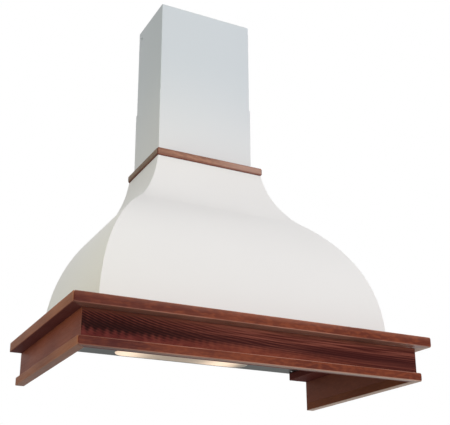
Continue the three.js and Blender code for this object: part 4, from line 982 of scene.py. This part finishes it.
def lit_cover():
    finish = Finish("ribbed_lamp_cover")
    x = finish.xyz()[0]
    lobes = []
    for middle, reach in GLOW_LOBES:
        away = (x - middle) / reach
        lobes.append((away * away * -1).maths("EXPONENT"))
    light = finish.mix(lobes[0].maths("MAXIMUM", lobes[1]), GLOW_LOW, GLOW_HIGH)
    fade = 1 - finish.step(x, *GLOW_ENDS)
    haze = finish.noise(60, detail=2.0)
    return finish.done(
        Base_Color=finish.mix(haze, (0.34, 0.31, 0.26), (0.42, 0.38, 0.32)),
        Roughness=0.35 + haze * 0.1,
        Specular_IOR_Level=0.2,
        Emission_Color=finish.mix(fade * 0.7 + 0.3, BLACK, light),
        Emission_Strength=1.0,
    )


def frosted_bulb():
    finish = Finish("frosted_bulb")
    frost = finish.noise(500, detail=2.0)
    return finish.done(
        Base_Color=finish.mix(frost, (0.80, 0.76, 0.68), (0.92, 0.89, 0.82)),
        Roughness=0.3 + frost * 0.2,
        Emission_Color=finish.mix(frost, srgb(255, 226, 178), srgb(255, 236, 200)),
        Emission_Strength=1.0,
    )


finishes["lamp_cover"] = lit_cover()
finishes["bulb_glass"] = frosted_bulb()
print("lamp finishes", len(finishes))

# %% [markdown]
# ## Geometry Nodes patterns
#
# What repeats is made by a rule. `Pattern` is a Geometry Nodes tree with named sizes. `baked`
# runs it once on an empty mesh and keeps the result as a plain mesh, so nothing live is left.

# %% Pattern
class Pattern(Tree):
    """A Geometry Nodes tree with named sizes, which makes what repeats."""

    def __init__(self, name, **sizes):
        super().__init__(bpy.data.node_groups.new(name, "GeometryNodeTree"))
        self.name = name
        self.values = {}
        interface = self.nodes_tree.interface
        interface.new_socket("Geometry", in_out="OUTPUT", socket_type="NodeSocketGeometry")
        for label, value in sizes.items():
            kind = "NodeSocketInt" if isinstance(value, int) else "NodeSocketFloat"
            made = interface.new_socket(label, in_out="INPUT", socket_type=kind)
            self.values[made.identifier] = value
        given = self.nodes_tree.nodes.new("NodeGroupInput")
        self.sizes = [Flow(self, given.outputs[label]) for label in sizes]

    def line(self, count, start, step):
        """A row of points."""
        return self.node("GeometryNodeMeshLine", Count=count, Start_Location=start, Offset=step)

    def centred_line(self, count, pitch, axis, shift=0.0):
        """A row of points along an axis, with its middle at the shift."""
        starts, steps = [0, 0, 0], [0, 0, 0]
        starts[axis] = (count - 1) * pitch * -0.5 + shift
        steps[axis] = pitch
        return self.line(count, self.point(*starts), self.point(*steps))

    def ball(self, segments, radius):
        return self.node("GeometryNodeMeshUVSphere", Segments=segments, Rings=6, Radius=radius)

    def placed(self, points, piece, **sockets):
        return self.node("GeometryNodeInstanceOnPoints", Points=points, Instance=piece, **sockets)

    def moved(self, points, x, y, z):
        offset = self.point(x, y, z)
        return self.node("GeometryNodeSetPosition", Geometry=points, Offset=offset)

    def joined(self, *geometries):
        whole = self.node("GeometryNodeJoinGeometry")
        for geometry in geometries:
            self.feed(whole.socket.node.inputs["Geometry"], geometry)
        return whole

    def real(self, geometry):
        return self.node("GeometryNodeRealizeInstances", Geometry=geometry)

    def across(self):
        """The x of each point."""
        return self.parts(self.node("GeometryNodeInputPosition"))[0]

    def odd(self):
        """1 for every other point of a row."""
        return self.node("GeometryNodeInputIndex").maths("MODULO", 2)

    def baked(self, geometry, slot):
        dressed = self.node(
            "GeometryNodeSetMaterial", Geometry=self.real(geometry), Material=finishes[slot])
        self.node("NodeGroupOutput", Geometry=dressed)
        holder = add_object(self.name, bpy.data.meshes.new(self.name))
        modifier = holder.modifiers.new(self.name, "NODES")
        modifier.node_group = self.nodes_tree
        for identifier, value in self.values.items():
            modifier[identifier] = value
        seen = bpy.context.evaluated_depsgraph_get()
        mesh = bpy.data.meshes.new_from_object(holder.evaluated_get(seen), depsgraph=seen)
        bpy.data.objects.remove(holder)
        mesh.name = self.name
        print(self.name, len(mesh.polygons), "faces")
        return mesh


print("a pattern can also", [name for name in vars(Pattern) if name[0] != "_"])

# %% [markdown]
# ## Filter mesh
#
# A grease filter is filled with expanded metal: sheet that is slit and pulled into diamonds,
# then pleated so that more of it meets the air. One strand is a flat zigzag. Strands side by
# side, every other one turned over about its own length, touch at their bends and make the
# diamonds. A second, shifted layer lies behind the first, and a triangle wave pleats both.

# %% Expanded metal
PLEATS = 20
PLEAT_DEPTH = 5.2 * MM
DIAMOND_LONG = 10.0 * MM
DIAMOND_SHORT = 5.0 * MM
STRAND_WIDTH = 1.1 * MM
STRAND_THICKNESS = 0.5 * MM
STRAND_OVERLAP = 0.6  # how far strands overlap at a bend, as a share of their width
LAYER_GAP = 1.4 * MM
MARGINS = (2 * MM, 3 * MM)  # how much smaller than its node, across and along


def expanded_metal(width, length):
    half_long, half_short = DIAMOND_LONG / 2, DIAMOND_SHORT / 2
    tree = Pattern(
        "expanded_metal", Strands=int(width / half_short) + 1,
        Bends=int(length / half_long) + 1, Pitch=half_short, Step=half_long,
        Width=STRAND_WIDTH, Thickness=STRAND_THICKNESS, Depth=PLEAT_DEPTH,
        Period=width / PLEATS)
    strands, bends, pitch, step, broad, thick, deep, period = tree.sizes
    line = tree.centred_line(bends, step, 1, -DIAMOND_LONG / 8)
    zigzag = tree.moved(line, (tree.odd() - 0.5) * (pitch - broad * STRAND_OVERLAP), 0, 0)
    section = tree.node("GeometryNodeCurvePrimitiveQuadrilateral", Width=broad, Height=thick)
    strand = tree.node(
        "GeometryNodeCurveToMesh", Curve=tree.node("GeometryNodeMeshToCurve", Mesh=zigzag),
        Profile_Curve=section, Fill_Caps=True)
    layer = tree.placed(tree.centred_line(strands, pitch, 0), strand,
                        Rotation=tree.point(0, tree.odd() * math.pi, 0))
    behind = tree.node(
        "GeometryNodeTransform", Geometry=layer, Translation=(0, DIAMOND_LONG / 4, LAYER_GAP))
    wave = (tree.across() / period).maths("PINGPONG", 0.5) * 2
    pleated = tree.moved(tree.real(tree.joined(layer, behind)), 0, 0, wave * deep)
    return tree.baked(pleated, "filter_mesh")


def add_filter_meshes():
    low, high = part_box("filter_mesh_right")
    sample = expanded_metal(high.x - low.x - MARGINS[0], high.y - low.y - MARGINS[1])
    for side in ("left", "right"):
        node = f"filter_mesh_{side}"
        place = underside(node) + Vector((0, 0, STRAND_THICKNESS))
        mesh = sample.copy()
        mesh.transform(Matrix.Translation(place))
        add_piece(
            f"filter_{side}_expanded_metal", mesh, f"filter_{side}", "filter_mesh", node)


add_filter_meshes()

# %% [markdown]
# ## Lamp cover
#
# The cover is a shallow dish with round ends, 7 mm deep, and its lower edge is rounded so that
# it wipes clean. Its underside carries fine ribs across, which spread the light. Towards the
# round ends the ribs get shorter, by the circle's own rule.

# %% Ribbed dish
COVER_WALL = 2 * MM
COVER_ROUND = 2.5 * MM
COVER_ROUND_STEPS = 4
END_STEPS = 14  # facets of each round end
RIB_PITCH = 4.5 * MM
RIB_HEIGHT = 0.5 * MM
RIB_WIDTH = 0.42  # half a rib's width, as a share of the pitch


def stadium(half_length, half_width, z):
    """Points round a long shape with two round ends, at one height."""
    middle = half_length - half_width
    ends = [*arc(middle, 0, half_width, -90, 90, END_STEPS),
            *arc(-middle, 0, half_width, 90, 270, END_STEPS)]
    return [(x, y, z) for x, y in ends]


def lamp_dish(half_length, half_width, height):
    """Rings from the inside floor, over the rim, to the outside floor."""
    floor = RIB_HEIGHT + COVER_WALL
    plan = [(COVER_WALL + COVER_ROUND, floor), (COVER_WALL, floor), (COVER_WALL, height),
            (0, height)]
    plan += arc(COVER_ROUND, RIB_HEIGHT + COVER_ROUND, COVER_ROUND, 180, 270, COVER_ROUND_STEPS)
    rings = [stadium(half_length - inset, half_width - inset, z) for inset, z in plan]
    return lofted("lamp_cover_dish", rings)


def lamp_ribs(half_length, half_width):
    tree = Pattern(
        "lamp_ribs", Ribs=int(2 * (half_length - 2 * COVER_ROUND) / RIB_PITCH),
        Pitch=RIB_PITCH, Height=RIB_HEIGHT, Reach=half_width - COVER_ROUND,
        Straight=half_length - half_width)
    ribs, pitch, height, reach, straight = tree.sizes
    bar = tree.node("GeometryNodeMeshCylinder", Vertices=10, Radius=1.0, Depth=2.0)
    lying = tree.node("GeometryNodeTransform", Geometry=bar, Rotation=(math.pi / 2, 0, 0))
    over = (tree.across().maths("ABSOLUTE") - straight).maths("MAXIMUM", 0)
    rib_reach = (reach * reach - over * over).maths("MAXIMUM", 0).maths("SQRT")
    scale = tree.point(pitch * RIB_WIDTH, rib_reach, height)
    places = tree.centred_line(ribs, pitch, 0)
    mesh = tree.baked(tree.placed(places, lying, Scale=scale), "lamp_cover")
    mesh.transform(Matrix.Translation((0, 0, RIB_HEIGHT)))
    return mesh


def add_lamp_cover():
    low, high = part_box("lamp_cover")
    half_length, half_width = (high.x - low.x) / 2, (high.y - low.y) / 2
    dish = lamp_dish(half_length, half_width, high.z - low.z)
    ribs = lamp_ribs(half_length, half_width)
    for mesh in (dish, ribs):
        mesh.transform(Matrix.Translation(underside("lamp_cover")))
    add_piece("lamp_cover_dish", dish, "lamp_lid", "lamp_cover", "lamp_cover")
    add_piece("lamp_cover_ribs", ribs, "lamp_lid", "lamp_cover")


add_lamp_cover()

# %% [markdown]
# ## Bulbs
#
# A bulb is a turned shape: a profile of radius and place, swung round the lamp's axis. The
# profile is one Bezier curve from the tip to the neck, as blown glass has no corners.

# %% Turned pieces
TURNED_SIDES = 32
BULB_STEPS = 18
BULB_CAP = 14.3 * MM  # from the end of the cap to where the glass widens
BULB_NECK = 7 * MM
BULB_HANDLES = (0.65, 1.86)  # how far the curve is pulled out at its tip and neck, in radii
BULB_TIP = 0.2 * MM  # radius of the first ring


def add_bulbs():
    for word, side in (("left", -1), ("right", 1)):
        low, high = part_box(f"bulb_{word}")
        centre = (low + high) / 2
        tip, cap_end = sorted((abs(low.x), abs(high.x)))
        widest = (high.z - low.z) / 2
        glass_end = cap_end - BULB_CAP
        pulled = [widest * share for share in BULB_HANDLES]
        corners = ((0, tip), (pulled[0], tip), (pulled[1], glass_end), (BULB_NECK, glass_end))
        curve = interpolate_bezier(*corners, BULB_STEPS + 1)
        glass = [(BULB_TIP, tip), *curve[1:], (BULB_NECK, cap_end)]
        rings = []
        for radius, x in glass:
            circle = arc(centre.y, centre.z, min(radius, widest), 0, 360, TURNED_SIDES)[:-1]
            rings.append([(side * x, y, z) for y, z in circle])
        name = f"bulb_{word}_glass"
        mesh = lofted(name, rings, smooth_below=50)
        add_piece(name, mesh, "root", "bulb_glass", f"bulb_{word}")


add_bulbs()
print("bulbs turned")

# %% [markdown]
# ## Rivets and button marks
#
# The tray is riveted to the bell's folded foot. One rivet head is a flattened ball that sits
# half in the sheet, and each row is a line of points. The speed buttons carry one, two and
# three raised dots, the off button a ring, and the light button a ring with rays, so that they
# can be told apart by touch.

# %% Rivets
RIVET_RADIUS = 3.2 * MM
RIVET_HEIGHT = 1.1 * MM
RIVET_EDGE = 24 * MM  # from the side and front edges of the tray
RIVET_BACK = 30 * MM
RIVET_CORNER = 80 * MM  # from the side rows to the front rows
RIVET_MIDDLE = 110 * MM  # half the gap between the two front rows


def domes(name, first, last, count, radius, height, slot):
    """Low round heads in a straight row, from the first point to the last."""
    gap = (Vector(last) - Vector(first)) / max(count - 1, 1)
    tree = Pattern(name, Count=count, Radius=radius, Height=height)
    count, radius, height = tree.sizes
    row = tree.line(count, tuple(first), tuple(gap))
    heads = tree.placed(row, tree.ball(12, 1.0), Scale=tree.point(radius, radius, height))
    mesh = tree.baked(heads, slot)
    mesh.shade_smooth()
    return mesh


def add_rivets():
    low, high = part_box("underside_tray")
    side, front, back = high.x - RIVET_EDGE, low.y + RIVET_EDGE, high.y - RIVET_BACK
    rows = {
        "left": ((-side, front), (-side, back), 6),
        "right": ((side, front), (side, back), 6),
        "front_left": ((-side + RIVET_CORNER, front), (-RIVET_MIDDLE, front), 3),
        "front_right": ((RIVET_MIDDLE, front), (side - RIVET_CORNER, front), 3),
    }
    for word, (first, last, count) in rows.items():
        name = f"tray_rivets_{word}"
        ends = (*first, low.z), (*last, low.z)
        mesh = domes(name, *ends, count, RIVET_RADIUS, RIVET_HEIGHT, "bright_steel")
        add_piece(name, mesh, "root", "bright_steel")


add_rivets()

# %% Button marks
DOT_RADIUS = 0.7 * MM
DOT_HEIGHT = 0.25 * MM
DOT_PITCH = 2.6 * MM
RAY_DISTANCE = 2.0  # in ring radii
RAY_SIZE = 1.4  # in radii of the ring's wire


def ring_mark(name, radius, rays):
    """A raised ring, with a circle of short rays round it where there are any."""
    tree = Pattern(name, Radius=radius, Wire=DOT_HEIGHT, Rays=max(rays, 1))
    reach, wire, count = tree.sizes
    circle, section = [
        tree.node("GeometryNodeCurvePrimitiveCircle", Resolution=sides, Radius=size)
        for sides, size in ((32, reach), (8, wire))]
    mark = tree.node("GeometryNodeCurveToMesh", Curve=circle, Profile_Curve=section)
    if rays:
        places = tree.node(
            "GeometryNodeMeshCircle", Vertices=count, Radius=reach * RAY_DISTANCE)
        mark = tree.joined(mark, tree.placed(places, tree.ball(8, wire * RAY_SIZE)))
    mesh = tree.baked(mark, "white_plastic")
    mesh.shade_smooth()
    return mesh


def add_button_marks():
    for number in (1, 2, 3):
        foot = underside(f"button_speed_{number}")
        half = Vector((DOT_PITCH * (number - 1) / 2, 0, 0))
        name = f"button_speed_{number}_dots"
        mesh = domes(
            name, foot - half, foot + half, number, DOT_RADIUS, DOT_HEIGHT, "white_plastic")
        add_piece(name, mesh, f"key_speed_{number}", "white_plastic")
    for word, radius, rays in (("off", 2.2 * MM, 0), ("light", 1.5 * MM, 8)):
        name = f"button_{word}_ring"
        mesh = ring_mark(name, radius, rays)
        mesh.transform(Matrix.Translation(underside(f"button_{word}")))
        add_piece(name, mesh, f"key_{word}", "white_plastic")


add_button_marks()

# %% [markdown]
# ## Softened edges
#
# The filter frames, their latches and the control bezel are the metal and plastic that a hand
# meets. The frame's solids have knife edges, so each of these gets a copy without doubled
# points whose sharp edges are bevelled, which is enough to catch a line of light.

# %% Bevelled copies
SHARP_FROM = 35  # degrees between two faces
FLAT_BELOW = 1
SAME_POINT = 0.002 * MM


def add_softened(node, body, width):
    """A copy of a node's mesh with its sharp edges bevelled."""
    def bevelled(shape):
        bmesh.ops.remove_doubles(shape, verts=shape.verts, dist=SAME_POINT)
        bmesh.ops.dissolve_limit(
            shape, angle_limit=math.radians(FLAT_BELOW), verts=shape.verts, edges=shape.edges)
        sharp = [edge for edge in shape.edges
                 if edge.is_manifold and edge.calc_face_angle() > math.radians(SHARP_FROM)]
        bmesh.ops.bevel(shape, geom=sharp, offset=width, offset_type="OFFSET", segments=2,
                        profile=0.5, affect="EDGES", clamp_overlap=True)

    source = nodes[node].data
    points = [vertex.co.copy() for vertex in source.vertices]
    faces = [tuple(face.vertices) for face in source.polygons]
    name = f"{node}_softened"
    mesh = built(name, points, faces, SHARP_FROM, bevelled)
    add_piece(name, mesh, body, source.materials[0].name, node)
    print(name, len(faces), "faces became", len(mesh.polygons))


for side in ("left", "right"):
    add_softened(f"filter_frame_{side}", f"filter_{side}", 0.8 * MM)
    add_softened(f"filter_latch_{side}", f"latch_{side}", 0.6 * MM)
add_softened("control_bezel", "root", 0.4 * MM)

# %% [markdown]
# ## Frame pieces that stay
#
# Everything else keeps the frame's own mesh and gets the finish of its slot. The two screws of
# the chimney have heads painted like the sleeve they hold.

# %% Remaining slots
for name, node in nodes.items():
    slot = node.data.materials[0].name
    if name.startswith("chimney_screw"):
        slot = "chimney_paint"
    if slot in finishes:
        node.data.materials[0] = finishes[slot]
print("nodes dressed", sum(not node.hide_render for node in nodes.values()))
